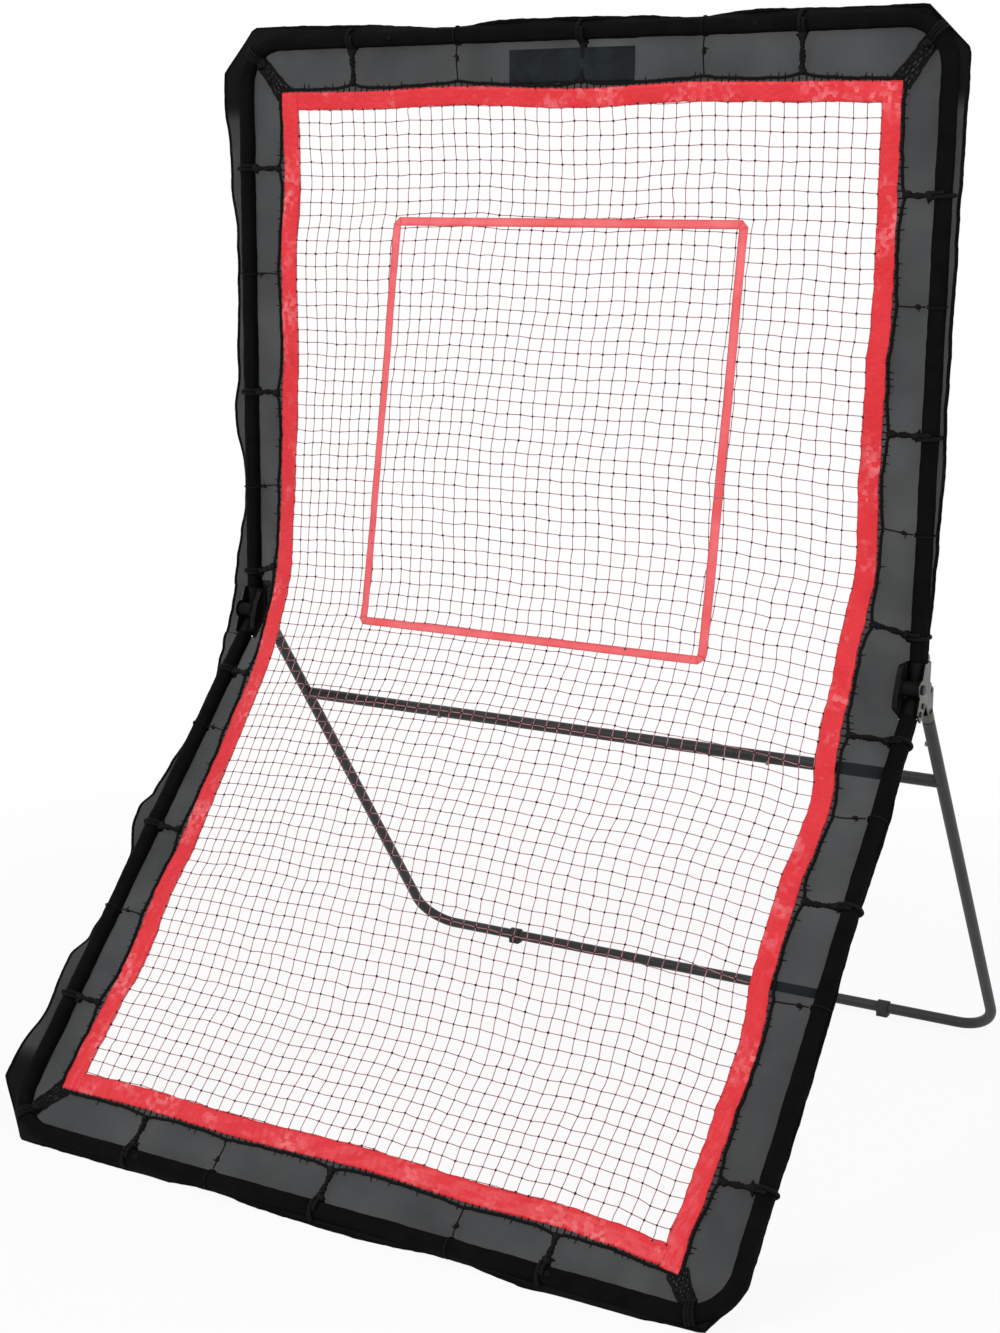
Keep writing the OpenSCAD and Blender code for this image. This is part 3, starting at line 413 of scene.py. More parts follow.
def edge_along(which, x):
    """the outer edge of the border tape at one end, as a place along the net's path"""
    if which == "upper":
        return through(x, (-463, 0), (-330, 1.3), (-175, -2.6), (20, 4.5), (185, -0.8), (330, 2.2),
                       (463, 4.5))
    return net_length(x) + through(x, (-463, -9), (-350, -10.2), (-160, -5.8), (0, -8.2), (190, -1.8),
                                   (285, -3), (360, 1.6), (420, 8.5), (463, 14))


def tape_width(edge, along):
    """how wide the border tape is"""
    middle = through(along, (0, 0), (230, 0), (400, 1), (1280, 1), (1420, 0), (1600, 0))
    return TAPE[edge] + WIDER.get(edge, 0) * middle


def along_of(which, s):
    """how far down the net's edge lies level with the place s on a side tube"""
    s = np.asarray(s, float)
    past = NET_LEAVE / math.tan(TURN / 2) * TURN / 2 * (1 - np.clip(s, 0, NET_LEAVE) / NET_LEAVE)
    from_end = np.where(s > NET_LEAVE, NET_END[which] - s, NET_END[which] - NET_LEAVE + past)
    return from_end if which == "upper" else EDGE_LENGTH - from_end


def past_edge(edge, t, e, out):
    """places e outside one edge of the border tape, t along it, out in front of the net"""
    if edge in PANELS:
        return net_point(t, edge_along(edge, t) - INWARD[edge] * e, out)
    return net_point(edge_x(edge, t) + edge * e, t, out)


def pulls_on(edge):
    """(place, strength) of the ties on one edge of the net"""
    if edge in PANELS:
        found = list(enumerate(TIES[edge]["bar"]))
    else:
        found = [(i, along_of(which, s)) for which in PANELS for i, s in enumerate(TIES[which][edge])]
    return [(float(at), THIN_PULL if i % 2 else THICK_PULL) for i, at in found]


PULLS = {edge: pulls_on(edge) for edge in EDGES}


def rope_gap(edge, t):
    """how far outside the tape the net's rope lies, t along an edge"""
    pulled = np.zeros(np.shape(t))
    for at, strength in PULLS[edge]:
        pulled = pulled + strength * np.exp(-np.abs(np.asarray(t) - at) / PULL_FADES)
    return ROPE_GAP + pulled + 0.6 * ripple(t, 45, 83)


# -------- materials


def finish_of(name, colour, roughness, **sockets):
    """a material with one Principled shader: returns it, its tree and the shader"""
    made = bpy.data.materials.new(name)
    made.use_nodes = True
    tree = made.node_tree
    shader = tree.nodes["Principled BSDF"]
    shader.inputs["Base Color"].default_value = linear(colour)
    shader.inputs["Roughness"].default_value = roughness
    for key, value in sockets.items():
        shader.inputs[key.replace("_", " ")].default_value = value
    return made, tree, shader


def clouds(tree, size, detail):
    """soft uneven patches about so many mm across"""
    place = add(tree, "ShaderNodeTexCoord").outputs["Object"]
    return add(tree, "ShaderNodeTexNoise", {"Vector": place, "Scale": 1 / (size * MM), "Detail": detail})


def bumped(tree, shader, height, depth, strength):
    """lets height stand out of the surface by depth, in mm"""
    bump = add(tree, "ShaderNodeBump", {"Height": height, "Distance": depth * MM, "Strength": strength})
    tree.links.new(bump.outputs[0], shader.inputs["Normal"])


def drifting(tree, share, low, high, start, end):
    """a colour that goes from low to high as share goes from start to end"""
    ramp = add(tree, "ShaderNodeValToRGB", {"Fac": share})
    for element, place, colour in zip(ramp.color_ramp.elements, (start, end), (low, high)):
        element.position, element.color = place, linear(colour)
    return ramp.outputs[0]


def mottled(name, colour, drift, roughness, cloud, span=(0.35, 0.65), grain=None, **sockets):
    """a finish whose colour drifts between two in clouds, (size, detail), over a raised grain, (size,
    detail, depth, strength), with sizes in mm; a grain too fine to show is drawn coarser than it is"""
    made, tree, shader = finish_of(name, colour, roughness, **sockets)
    tree.links.new(drifting(tree, clouds(tree, *cloud), *drift, *span), shader.inputs["Base Color"])
    if grain:
        size, detail, depth, strength = grain
        bumped(tree, shader, clouds(tree, size, detail), depth, strength)
    return made


def black_cord(name, colour, roughness):
    """black nylon or polyester yarn: dull, with a fuzz that hides its single threads"""
    return mottled(name, colour, (colour, "#0F0F10"), roughness, (1.43, 3),
                   grain=(0.625, 2, 0.3, 0.6), Specular_IOR_Level=0.12)


def woven_black(name, colour="#070708", lighter="#0E0E0F"):
    """close polyester weave: it gives back hardly any light, and its threads show as a fine grain"""
    return mottled(name, colour, (colour, lighter), 0.85, (25, 4), (0.3, 0.75),
                   (2.38, 3, 0.6, 0.7), Specular_IOR_Level=0.05)


def coated_steel(name, colour, second, roughness, gloss):
    """powder coat on steel: fine orange peel under a low gloss"""
    return mottled(name, colour, (colour, second), roughness, (33.3, 4), (0.3, 0.8),
                   (0.714, 2, 0.2, 0.5), Specular_IOR_Level=gloss)


def zinc_plate(name, dark, light):
    """dull zinc plating: a grey metal, spangled, and duller in some patches than in others"""
    made = mottled(name, dark, (dark, light), 0.38, (6.25, 5), (0.3, 0.7), (1.11, 3, 0.2, 0.4),
                   Metallic=1.0)
    tree = made.node_tree
    dulled = add(tree, "ShaderNodeMapRange", {"Value": clouds(tree, 16.7, 3), "To Min": 0.28,
                                              "To Max": 0.5})
    tree.links.new(dulled.outputs[0], tree.nodes["Principled BSDF"].inputs["Roughness"])
    return made


def part_black(made, black):
    """blacks a plate's finish everywhere but on the hinge's outer face, which stays bare"""
    tree = made.node_tree
    node = partial(add, tree)
    shader = tree.nodes["Principled BSDF"]
    across = node("ShaderNodeSeparateXYZ", {0: node("ShaderNodeTexCoord").outputs["Object"]})
    outward = node(MATH, {0: across}, operation="ABSOLUTE")
    outer_face = (SIDE_X + CHEEK_OUT - 0.8) * MM
    bare = node(MATH, {0: outward, 1: outer_face}, operation="GREATER_THAN")
    plate = shader.inputs["Base Color"].links[0].from_socket
    rough = shader.inputs["Roughness"].links[0].from_socket
    colour = node("ShaderNodeMix", {"Factor": bare, "A": linear(black), "B": plate}, data_type="RGBA")
    tree.links.new(colour.outputs["Result"], shader.inputs["Base Color"])
    tree.links.new(bare.outputs[0], shader.inputs["Metallic"])
    dull = node(MATH, {0: 0.7, 1: bare}, operation="SUBTRACT")
    duller = node(MATH, {0: rough, 1: dull}, operation="MAXIMUM")
    tree.links.new(duller.outputs[0], shader.inputs["Roughness"])
    shader.inputs["Specular IOR Level"].default_value = 0.08
    return made


def red_webbing():
    """polypropylene tape, hot-pressed: a fine weave, blocky puckers, and painted highlights, pale pink
    blocks where the puckers would catch the light
    """
    made, tree, shader = finish_of("pressed polypropylene tape", "#E02F38", 0.5, Specular_IOR_Level=0.2,
                                   Coat_Weight=0.12, Coat_Roughness=0.2)
    node = partial(add, tree)
    flat_map = node("ShaderNodeUVMap")
    block = node("ShaderNodeTexVoronoi", {"Vector": flat_map, "Scale": 1 / (6.67 * MM),
                                          "Randomness": 0.7}, distance="CHEBYCHEV", feature="F1")
    by_block = node("ShaderNodeSeparateColor", {0: block.outputs["Color"]})
    where = node("ShaderNodeMapRange", {"Value": clouds(tree, 62.5, 3), "From Min": 0.42,
                                        "From Max": 0.68})
    lit = node(MATH, {0: by_block, 1: where}, operation="MULTIPLY")
    painted_glint = node("ShaderNodeMapRange", {"Value": lit, "From Min": 0.2, "From Max": 0.8,
                                        "To Max": 0.55})
    base = drifting(tree, clouds(tree, 33.3, 3), "#DC2A33", "#E6353E", 0.3, 0.7)
    # painted highlight: the red goes toward pale pink on scattered blocks, for the glints of the puckers
    mixed = node("ShaderNodeMix", {"Factor": painted_glint, "A": base, "B": linear("#FA8E93")},
                 data_type="RGBA")
    tree.links.new(mixed.outputs["Result"], shader.inputs["Base Color"])
    weave = node("ShaderNodeTexWave", {"Vector": flat_map, "Scale": thread_scale(1.75),
                                       "Distortion": 1.5, "Detail": 1.0}, bands_direction="Y")
    height = node(MATH, {0: weave.outputs["Fac"], 1: 0.06, 2: block.outputs["Distance"]},
                  operation="MULTIPLY_ADD")
    bumped(tree, shader, height, 1.8, 1.0)
    return made


def thread_scale(spacing):
    """the scale at which a wave texture's bands lie so many mm apart"""
    return math.tau / 20 / (spacing * MM)


def cover_cloth(name, colour, lighter, open_share, painted_shade=None):
    """open-weave polyester: dark, and light shows between its threads, at both faces of the piece"""
    made, tree, shader = finish_of(name, colour, 0.85, Specular_IOR_Level=0.12)
    node = partial(add, tree)
    flat_map = node("ShaderNodeUVMap")
    across, down = (node("ShaderNodeTexWave", {"Vector": flat_map, "Scale": thread_scale(1.96)},
                         bands_direction=way).outputs["Fac"] for way in "XY")
    threads = node(MATH, {0: across, 1: down}, operation="ADD")
    bumped(tree, shader, threads, 0.2, 0.5)
    base = drifting(tree, clouds(tree, 167, 5), colour, lighter, 0.3, 0.75)
    spread = node("ShaderNodeMapRange", {"Value": clouds(tree, 111, 3), "From Min": 0.3,
                                         "From Max": 0.7, "To Min": 1 - open_share * 1.15,
                                         "To Max": 1 - open_share * 0.85})
    alpha = spread.outputs[0]
    if painted_shade:   # where the piece's own attribute says, the cloth is painted near-black and close: painted shade for the loose cloth in shade at the bars and corners
        shade_share = node("ShaderNodeAttribute", attribute_name="painted_shade").outputs["Fac"]
        base = node("ShaderNodeMix", {"Factor": shade_share, "A": base, "B": linear(painted_shade)},
                    data_type="RGBA").outputs["Result"]
        alpha = node(MATH, {0: alpha, 1: shade_share}, operation="MAXIMUM").outputs[0]
    tree.links.new(base, shader.inputs["Base Color"])
    tree.links.new(alpha, shader.inputs["Alpha"])
    return made


# spun twine: matt, and its dye is uneven from yarn to yarn
TWINE = mottled("knotted polyester twine", "#B0767A", ("#9E666A", "#C4888C"), 0.75, (16.7, 4),
                Specular_IOR_Level=0.2)
# twine drawn tight in a knot: dark, because light gets lost between its turns
KNOT = mottled("drawn polyester knot", "#2A1416", ("#1C0E10", "#3A2022"), 0.8, (1.11, 4),
               Specular_IOR_Level=0.2)
RED = red_webbing()
# tape thin enough to take the net's lumps, which a low gloss picks out
CORAL = mottled("thin polypropylene tape", "#EE6065", ("#E8565B", "#F27277"), 0.5, (40, 3), (0.3, 0.7),
                (7.69, 2, 1.2, 0.6), Specular_IOR_Level=0.3)
ROPE_BLACK = black_cord("laid nylon rope", "#0A0A0B", 0.75)
ELASTIC = black_cord("covered elastic cord", "#080809", 0.7)
WEB_CLOTH = cover_cloth("open polyester mesh cloth", "#1A1D1F", "#272B2E", 0.235)
# the loose cloth's last colour is painted shade: near-black where the flap's own attribute says
FLAP_CLOTH = cover_cloth("open polyester mesh cloth, loose", "#1B1D1E", "#252729", 0.21, "#08080A")
SLEEVE_CLOTH = woven_black("close polyester cloth over the tubes")
HEM_CLOTH = woven_black("bound polyester hem")
LABEL_CLOTH = woven_black("satin label cloth", "#1D2123", "#282D2F")
BLACK_COAT = coated_steel("black powder coat on steel", "#0A0A0B", "#111112", 0.65, 0.08)
BLACK_RIVET = coated_steel("blackened steel rivet", "#0E0E0F", "#171718", 0.5, 0.25)
GREY_COAT = coated_steel("grey powder coat on steel", "#282929", "#323333", 0.45, 0.25)
COVERED_STEEL = coated_steel("blackened steel button under cloth", "#09090A", "#101011", 0.8, 0.08)
ZINC = zinc_plate("dull zinc on pressed steel", "#484843", "#60605A")
HOUSING = part_black(zinc_plate("zinc plate, black inside", "#484843", "#60605A"), "#0A0A0B")
BUTTON_STEEL = zinc_plate("turned steel button", "#5E5E5A", "#80807A")
# moulded parts with a fine spark grain and hardly any gloss
GUARD_PLASTIC = mottled("moulded black polypropylene", "#0B0B0C", ("#0A0A0B", "#131314"), 0.6,
                        (11.1, 4), grain=(0.667, 3, 0.3, 0.5), Specular_IOR_Level=0.12)
RUBBER = mottled("moulded rubber", "#151515", ("#121212", "#1E1E1E"), 0.75, (8.33, 4),
                 grain=(0.833, 3, 0.3, 0.6))

# -------- the net

BENDS_WITHIN = 120      # how far from the fold, along each panel, the two places BEND_START and BEND_END lie
BEND_START, BEND_END = (tuple((FOLD + BENDS_WITHIN * ALONG[which]) * MM) for which in ("lower", "upper"))


def settle(made, slot, *stands_for, body=None):
    """puts a piece on its body, or else bakes its place into its points, and hides the CAD parts it stands
    for; its slot is not used
    """
    if body:
        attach(made, body)
    else:
        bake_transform(made)
        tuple(BEND_START)
        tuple(BEND_END)
    if stands_for:
        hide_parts(*stands_for)


def net_crossings():
    """the net's crossings as an array, columns by rows, with the unevenness of knotting"""
    draw = np.random.default_rng(7)
    b = np.linspace(0, 1, COLUMNS + 1)[:, None]
    q = np.linspace(0, 1, ROWS + 1)[None, :]
    inner = NET_HALF - TAPE[RIGHT]
    x0 = -inner + 2 * inner * b + 0 * q
    along = (edge_along("upper", x0) + TAPE["upper"]) * (1 - q) \
        + (edge_along("lower", x0) - TAPE["lower"]) * q
    x = (edge_x(LEFT, along) + tape_width(LEFT, along)) * (1 - b) \
        + (edge_x(RIGHT, along) - tape_width(RIGHT, along)) * b
    calm = np.minimum(1, 4 * np.minimum(b, 1 - b) + 0.3)
    x = x + calm * (1.5 * creases(x0, along, 190, 11) + draw.normal(0, 0.45, x.shape))
    along = along + 1.2 * creases(x0, along, 170, 12) + draw.normal(0, 0.45, x.shape)
    out = 1.4 * creases(x0, along, 150, 13) + draw.normal(0, 0.35, x.shape)
    return x, along, out


def cord_paths(x, along, out, seed):
    """a path through each row of crossings, with a slack point between every two"""
    draw = np.random.default_rng(seed)
    paths = []
    for row in zip(x, along, out):
        points = np.stack(row, -1)
        path = np.empty((2 * len(points) - 1, 3))
        path[0::2] = points
        path[1::2] = (points[1:] + points[:-1]) / 2 + draw.normal(0, 0.28, (len(points) - 1, 3))
        paths.append(path)
    return paths


def make_net():
    """the twine, knotted at every crossing, with its ends inside the folded tape"""
    x, along, out = net_crossings()
    down, across = cord_paths(x, along, out, 21), cord_paths(x.T, along.T, out.T, 22)
    for paths, way, first, last in ((down, 1, "upper", "lower"), (across, 0, LEFT, RIGHT)):
        for path in paths:
            path[0, way] -= TAPE[first] - 6
            path[-1, way] += TAPE[last] - 6
            path[:2, 2] = path[-2:, 2] = 0
    for name, paths, stands_for in (("net_cords_down", down, ("net_upper", "net_lower")),
                                    ("net_cords_across", across, ("net_bend",))):
        lines = [net_point(*path.T) for path in paths]
        cords = grow(name, guide(name, lines), CORDS, diameter=1.22 * MM, sides=5, material=TWINE)
        settle(cords, "netting", *stands_for)
    spots = net_point(x, along, out).reshape(-1, 1, 3)
    sizes = np.random.default_rng(5).uniform(0.85, 1.15, len(spots))
    knots = grow("net_knots", guide("net_knots", spots, [sizes]), KNOTS, size=3.1 * MM, spread=0.25,
                 detail=1, seed=3, material=KNOT)
    settle(knots, "netting")


# -------- the tapes on the net

TAPE_HALF_THICK = 1.5


def tape_strip(edge, place, length, seed, lift=0.0):
    """a tape folded over one edge of the net; place(edge, t, e, out) gives its points, e inwards"""
    rows, cols = int(length / 3) + 1, 11
    t = np.linspace(0, length, rows)[:, None] + np.zeros((1, cols))
    share = np.linspace(0, 1, cols)[None, :] + np.zeros((rows, 1))
    e = share * tape_width(edge, t)
    e = e - (1 - share) * 0.25 * ripple(t, 30, seed) + share * 0.4 * ripple(t, 40, seed + 1)
    puckers = 0.5 * creases(2.0 * e, t, 42, seed + 2) + 0.3 * creases(1.6 * e, t, 17, seed + 3)
    rim = 0.9 * np.abs(2 * share - 1) ** 6
    front = place(edge, t, e, TAPE_HALF_THICK + lift + puckers - rim)
    back = place(edge, t, e, -TAPE_HALF_THICK - lift + puckers + rim)
    return slab(front, back)


def down_a_side(side, t, e, out):
    """places on a side strip, which runs between the outer edges of both end strips"""
    x = side * (NET_HALF - e)
    first, last = edge_along("upper", x) + 1, edge_along("lower", x) - 1
    along = first + (last - first) * t / EDGE_LENGTH
    return net_point(edge_x(side, along) - side * e, along, out)


def along_an_end(which, t, e, out):
    """places on an end strip, which ends on the outer edges of both side strips"""
    left, right = (edge_x(side, edge_along(which, side * NET_HALF) + INWARD[which] * e) - side * 0.3
                   for side in (LEFT, RIGHT))
    x = left + (right - left) * t / (2 * NET_HALF)
    return net_point(x, edge_along(which, x) + INWARD[which] * e, out)


def make_border_tape():
    """the red tape folded over all four edges of the net; the side strips lie over the others"""
    parts = [tape_strip(side, down_a_side, EDGE_LENGTH, 31 + side, lift=0.7) for side in (LEFT, RIGHT)]
    parts += [tape_strip(which, along_an_end, 2 * NET_HALF, seed)
              for which, seed in (("upper", 41), ("lower", 47))]
    settle(piece("border_tape", *joined(parts), RED), "red_tape", "border_tape_upper",
           "border_tape_lower", "border_tape_bend")


ZONE_X, ZONE_UP, ZONE_DOWN = 269.0, 174.0, 763.0     # the strike zone's sides and ends on the net
ZONE_TAPE, ZONE_CUT = 12.0, 9.0                      # its tape's width, and what its corners lose


def zone_strip(start, end, inner_start, inner_end, seed):
    """one run of the zone's tape, between an outer and an inner line"""
    rows, cols = int(math.dist(start, end) / 5) + 2, 4
    t = np.linspace(0, 1, rows)[:, None, None]
    outer = np.array(start) * (1 - t) + np.array(end) * t
    inner = np.array(inner_start) * (1 - t) + np.array(inner_end) * t
    share = np.linspace(0, 1, cols)[None, :, None]
    x, along = np.moveaxis(outer * (1 - share) + inner * share, -1, 0)
    wave = 0.5 * creases(x, along, 60, seed) + 0.25 * creases(x, along, 22, seed + 1)
    return slab(net_point(x, along, 2.0 + wave), net_point(x, along, 1.0 + wave))


def make_zone_tape():
    """a square of thin tape sewn on the net, its corners cut off"""
    x, up, down, cut = ZONE_X, ZONE_UP, ZONE_DOWN, ZONE_CUT
    outer = [(cut - x, up), (x - cut, up), (x, up + cut), (x, down - cut),
             (x - cut, down), (cut - x, down), (-x, down - cut), (-x, up + cut)]
    x, up, down = x - ZONE_TAPE, up + ZONE_TAPE, down - ZONE_TAPE
    inner = [(-x, up), (x, up), (x, down), (-x, down)]
    parts = []
    for k in range(4):
        corner = inner[(k + 1) % 4]
        parts.append(zone_strip(outer[2 * k], outer[2 * k + 1], inner[k], corner, 61 + k))
        parts.append(zone_strip(outer[2 * k + 1], outer[(2 * k + 2) % 8], corner, corner, 71 + k))
    settle(piece("zone_tape", *joined(parts), CORAL), "coral_tape", "zone_tape_upper", "zone_tape_bend")


make_net()
make_border_tape()
make_zone_tape()

# -------- the rope and the loose mesh round the net


def make_rope():
    """the net's black selvedge rope, drawn out to each tie"""
    lines = []
    for edge in EDGES:
        if edge in PANELS:
            level = 0 if edge == "upper" else EDGE_LENGTH
            first, last = float(edge_x(LEFT, level)) - 3, float(edge_x(RIGHT, level)) + 4
        else:
            first = float(edge_along("upper", edge * NET_HALF)) + 1
            last = float(edge_along("lower", edge * NET_HALF))
        t = np.arange(first, last, 6.0)
        lines.append(past_edge(edge, t, rope_gap(edge, t), ROPE_OUT))
    rope = grow("net_rope", guide("net_rope", lines), TWIST, strands=3, strand_diameter=2.5 * MM,
                lay_radius=1.3 * MM, turns_per_metre=75.0, step=2.4 * MM, sides=5, material=ROPE_BLACK)
    settle(rope, "netting")


def make_mesh_ends():
    """the net's black end loops between the tape and the rope, some of them past it"""
    draw = random.Random(9)
    steps = np.linspace(0, 1, 4)
    lines, widths = [], []
    for edge in EDGES:
        first, last = (-452, 446) if edge in PANELS else \
            (12, float(edge_along("lower", edge * NET_HALF)) - 6)
        for t in np.arange(first, last, MESH / 2 + 0.3):
            past_rope = draw.uniform(3.5, 8.5) if draw.random() < 0.5 else draw.uniform(0.5, 2.5)
            reach = float(rope_gap(edge, t)) + past_rope
            lean, lift = draw.uniform(-2.5, 2.5), draw.uniform(-0.8, 1.2)
            lines.append(past_edge(edge, t + lean * steps, -2 + (reach + 2) * steps, lift * steps))
            widths.append([1, 1.1, 1.0, 0.5])
    ends = grow("net_end_loops", guide("net_end_loops", lines, widths), CORDS, diameter=2 * MM,
                sides=5, material=ROPE_BLACK)
    settle(ends, "netting")


def corner_hold(which, side):
    """where a corner's netting is held on the tube's line, and the way out from there: x, s"""
    turn = math.radians(16 if (which, side) == ("lower", RIGHT) else 45)   # that one is tied near the bar
    out = np.array([side * math.sin(turn), math.cos(turn)])
    return np.array([side * CORNER_X, CORNER_S[which]]) + CORNER_R * out, out


BUNCH_LINES = 8


def corner_bunch(which, side):
    """the surplus netting of a corner, drawn to the bend of the tube: its lines and their thicknesses"""
    far = corner_hold(which, side)[0]
    x = float(edge_x(side, 4 if which == "upper" else EDGE_LENGTH - 8))
    gained = float(edge_along(which, x) - (0 if which == "upper" else net_length(x)))
    near = np.array([x - side * 3, NET_END[which] - INWARD[which] * gained - 3])
    run = far - near
    run_length = np.linalg.norm(run)
    run = run / run_length
    run_length -= TUBE_R
    across = np.array([-run[1], run[0]])
    draw = random.Random(17 + side + (5 if which == "upper" else 0))
    rungs = np.linspace(0, 1, 10)
    spread = np.linspace(-0.5, 0.5, BUNCH_LINES)
    lines, widths = [], []

    def at(t, place, w):
        half = 25 - 6 * np.sin(t * math.pi / 1.6)
        flat = near + np.outer(t * run_length, run) + np.outer(place * half, across)
        return on_panel(which, flat[..., 0], flat[..., 1], w)
    for k, place in enumerate(spread):
        w = -1.0 + np.array([draw.uniform(-1.2, 1.2) for _ in rungs])
        lines.append(at(rungs, place + np.array([draw.uniform(-0.04, 0.04) for _ in rungs]), w))
        widths.append(np.full(len(rungs), 2.0 if k in (0, BUNCH_LINES - 1) else 1.0))
    for i in range(len(rungs) - 1):
        for k in range(BUNCH_LINES - 1):
            up = (i + k) % 2
            place = np.array([spread[k + (1 - up)], spread[k + up]])
            lines.append(at(rungs[i:i + 2], place, np.array([draw.uniform(-2, 1), draw.uniform(-2, 1)])))
            widths.append([1.0, 1.0])
    return lines, widths


def make_bunches():
    """the netting bunched in the corners of each panel"""
    for which in PANELS:
        lines, widths = (a + b for a, b in zip(corner_bunch(which, LEFT), corner_bunch(which, RIGHT)))
        made = grow("corner_netting_" + which, guide("corner_netting", lines, widths), CORDS,
                    diameter=1.9 * MM, sides=5, material=ROPE_BLACK)
        settle(made, "netting", body=which + "_frame")


# -------- the ties


def tie_frames(which):
    """every tie of a panel: its place on the tube, the ways in and along, its aim, and if it is thick"""
    for side in (LEFT, RIGHT):
        for i, s in enumerate(TIES[which][side]):
            t = float(along_of(which, s))
            aim = past_edge(side, t, float(rope_gap(side, t)) - 0.5, ROPE_OUT)
            yield on_panel(which, side * SIDE_X, s, 0.0), -side * ACROSS, ALONG[which], aim, i % 2 == 0
    for i, x in enumerate(TIES[which]["bar"]):
        aim = past_edge(which, float(x), float(rope_gap(which, x)) - 0.5, ROPE_OUT)
        yield on_panel(which, x, LENGTH[which], 0.0), -ALONG[which], ACROSS, aim, i % 2 == 0


def coil(tube, inward, ahead, along, radius, angle, drift):
    """turns round a place on a tube, which drift along it"""
    return tube + radius * (np.outer(np.cos(angle), inward) + np.outer(np.sin(angle), ahead)) \
        + np.outer(drift, along)


COIL_FROM = -0.35       # the angle at which a tie's turns round the tube start


def ties_on(which):
    """a panel's ties: thick lines, thin lines and lumps, each with its thicknesses"""
    draw = random.Random(101 if which == "upper" else 102)
    thick, thick_w, thin, thin_w, lumps, lump_w = [], [], [], [], [], []
    ahead = AHEAD[which]
    steps = np.linspace(0, 1, 9)
    for tube, inward, along, aim, is_thick in tie_frames(which):
        stand_off, turns, drift = (2.6, 1.35, 7) if is_thick else (1.3, 1.15, 3.5)
        ring = coil(tube, inward, ahead, along, SLEEVE_R + stand_off,
                    np.linspace(COIL_FROM, turns * math.tau + COIL_FROM, 30),
                    np.linspace(-0.5, 0.5, 30) * drift)
        under_label = which == "upper" and tube[0] == UNDER_LABEL
        mouth = tube + inward * (SLEEVE_R + 3) + ahead * (-2.5 if under_label else 3.0)
        run = aim - mouth
        sway = draw.uniform(-1.6, 1.6)
        strand = mouth + np.outer(steps, run) + np.outer(np.sin(steps * math.pi) * sway, along) \
            + np.outer(np.sin(steps * math.tau) * 0.8, ahead)
        if is_thick:
            thick += [ring, strand]
            swell = 1 + 0.28 * np.sin(steps * 13 + draw.uniform(0, 6)) * np.sin(steps * math.pi)
            thick_w += [np.full(len(ring), 0.72), swell]
            for share, size in ((0.02, 1.5), (0.10, 1.25), (0.86, 1.15), (0.97, 1.35)):
                lumps.append(mouth + run * share + along * draw.uniform(-1.2, 1.2))
                lump_w.append(size)
            for _ in range(2):   # cut ends of the knot
                way = -inward * draw.uniform(-0.1, 0.5) + along * draw.choice((-1, 1)) \
                    + ahead * draw.uniform(-0.2, 0.3)
                way = way / np.linalg.norm(way)
                start = mouth + inward * draw.uniform(0, 5)
                thick.append(start + np.outer(np.linspace(0, draw.uniform(7, 11), 4), way))
                thick_w.append([0.7, 0.75, 0.6, 0.3])
        else:
            thin += [ring, strand]
            thin_w += [np.ones(len(ring)), np.ones(len(strand))]
            at = 0.30 + draw.uniform(-0.06, 0.06)
            for k, size in enumerate((0.42, 0.62, 0.75, 0.6, 0.4)):   # a drawn-out knot
                lumps.append(mouth + run * (at + 0.035 * (k - 2)))
                lump_w.append(size)
            way = along * draw.choice((-1, 1)) + inward * 0.4
            tail = np.outer(np.linspace(0, 7, 4), way / np.linalg.norm(way))
            thin.append(mouth + run * (at - 0.1) + tail)
            thin_w.append([1.0, 1.0, 0.8, 0.5])
    for side in (LEFT, RIGHT):   # the turns that hold each corner's netting
        spot, (out_x, out_s) = corner_hold(which, side)
        tube = on_panel(which, *spot, 0.0)
        inward = -(out_x * ACROSS + out_s * ALONG[which])
        along = out_x * ALONG[which] - out_s * ACROSS
        for offset in (-4, 0.5, 4.5):
            thick.append(coil(tube, inward, ahead, along, SLEEVE_R + 1.9,
                              np.linspace(0, math.tau * 1.02, 26), offset + np.linspace(-1.5, 1.5, 26)))
            thick_w.append(np.full(len(thick[-1]), 0.55))
        for k in range(4):
            lumps.append(tube + inward * (SLEEVE_R + 1.5 + 2.2 * k) + ahead * 2
                         + along * draw.uniform(-4, 4))
            lump_w.append(1.3)
    return (thick, thick_w), (thin, thin_w), (np.array(lumps)[:, None], [lump_w])


def make_ties():
    """the elastic and thin ties of each panel, with their knots"""
    for which in PANELS:
        thick, thin, lumps = ties_on(which)
        elastic = grow("tie_elastic_" + which, guide("ties", *thick), TWIST, strands=3,
                       strand_diameter=3.7 * MM, lay_radius=2.1 * MM, turns_per_metre=58.0,
                       step=2 * MM, sides=7, material=ELASTIC)
        cords = grow("tie_cords_" + which, guide("ties", *thin), TWIST, strands=2,
                     strand_diameter=1.4 * MM, lay_radius=0.6 * MM, turns_per_metre=120.0,
                     step=2 * MM, sides=5, material=ELASTIC)
        knots = grow("tie_knots_" + which, guide("tie_knots", *lumps), KNOTS, size=7.8 * MM,
                     spread=0.22, detail=3, seed=8, material=ELASTIC)
        settle(elastic, "elastic", "ties_" + which, body=which + "_frame")
        for part in (cords, knots):
            settle(part, "elastic", body=which + "_frame")


make_rope()
make_mesh_ends()
make_bunches()
make_ties()

# -------- the cloth cover


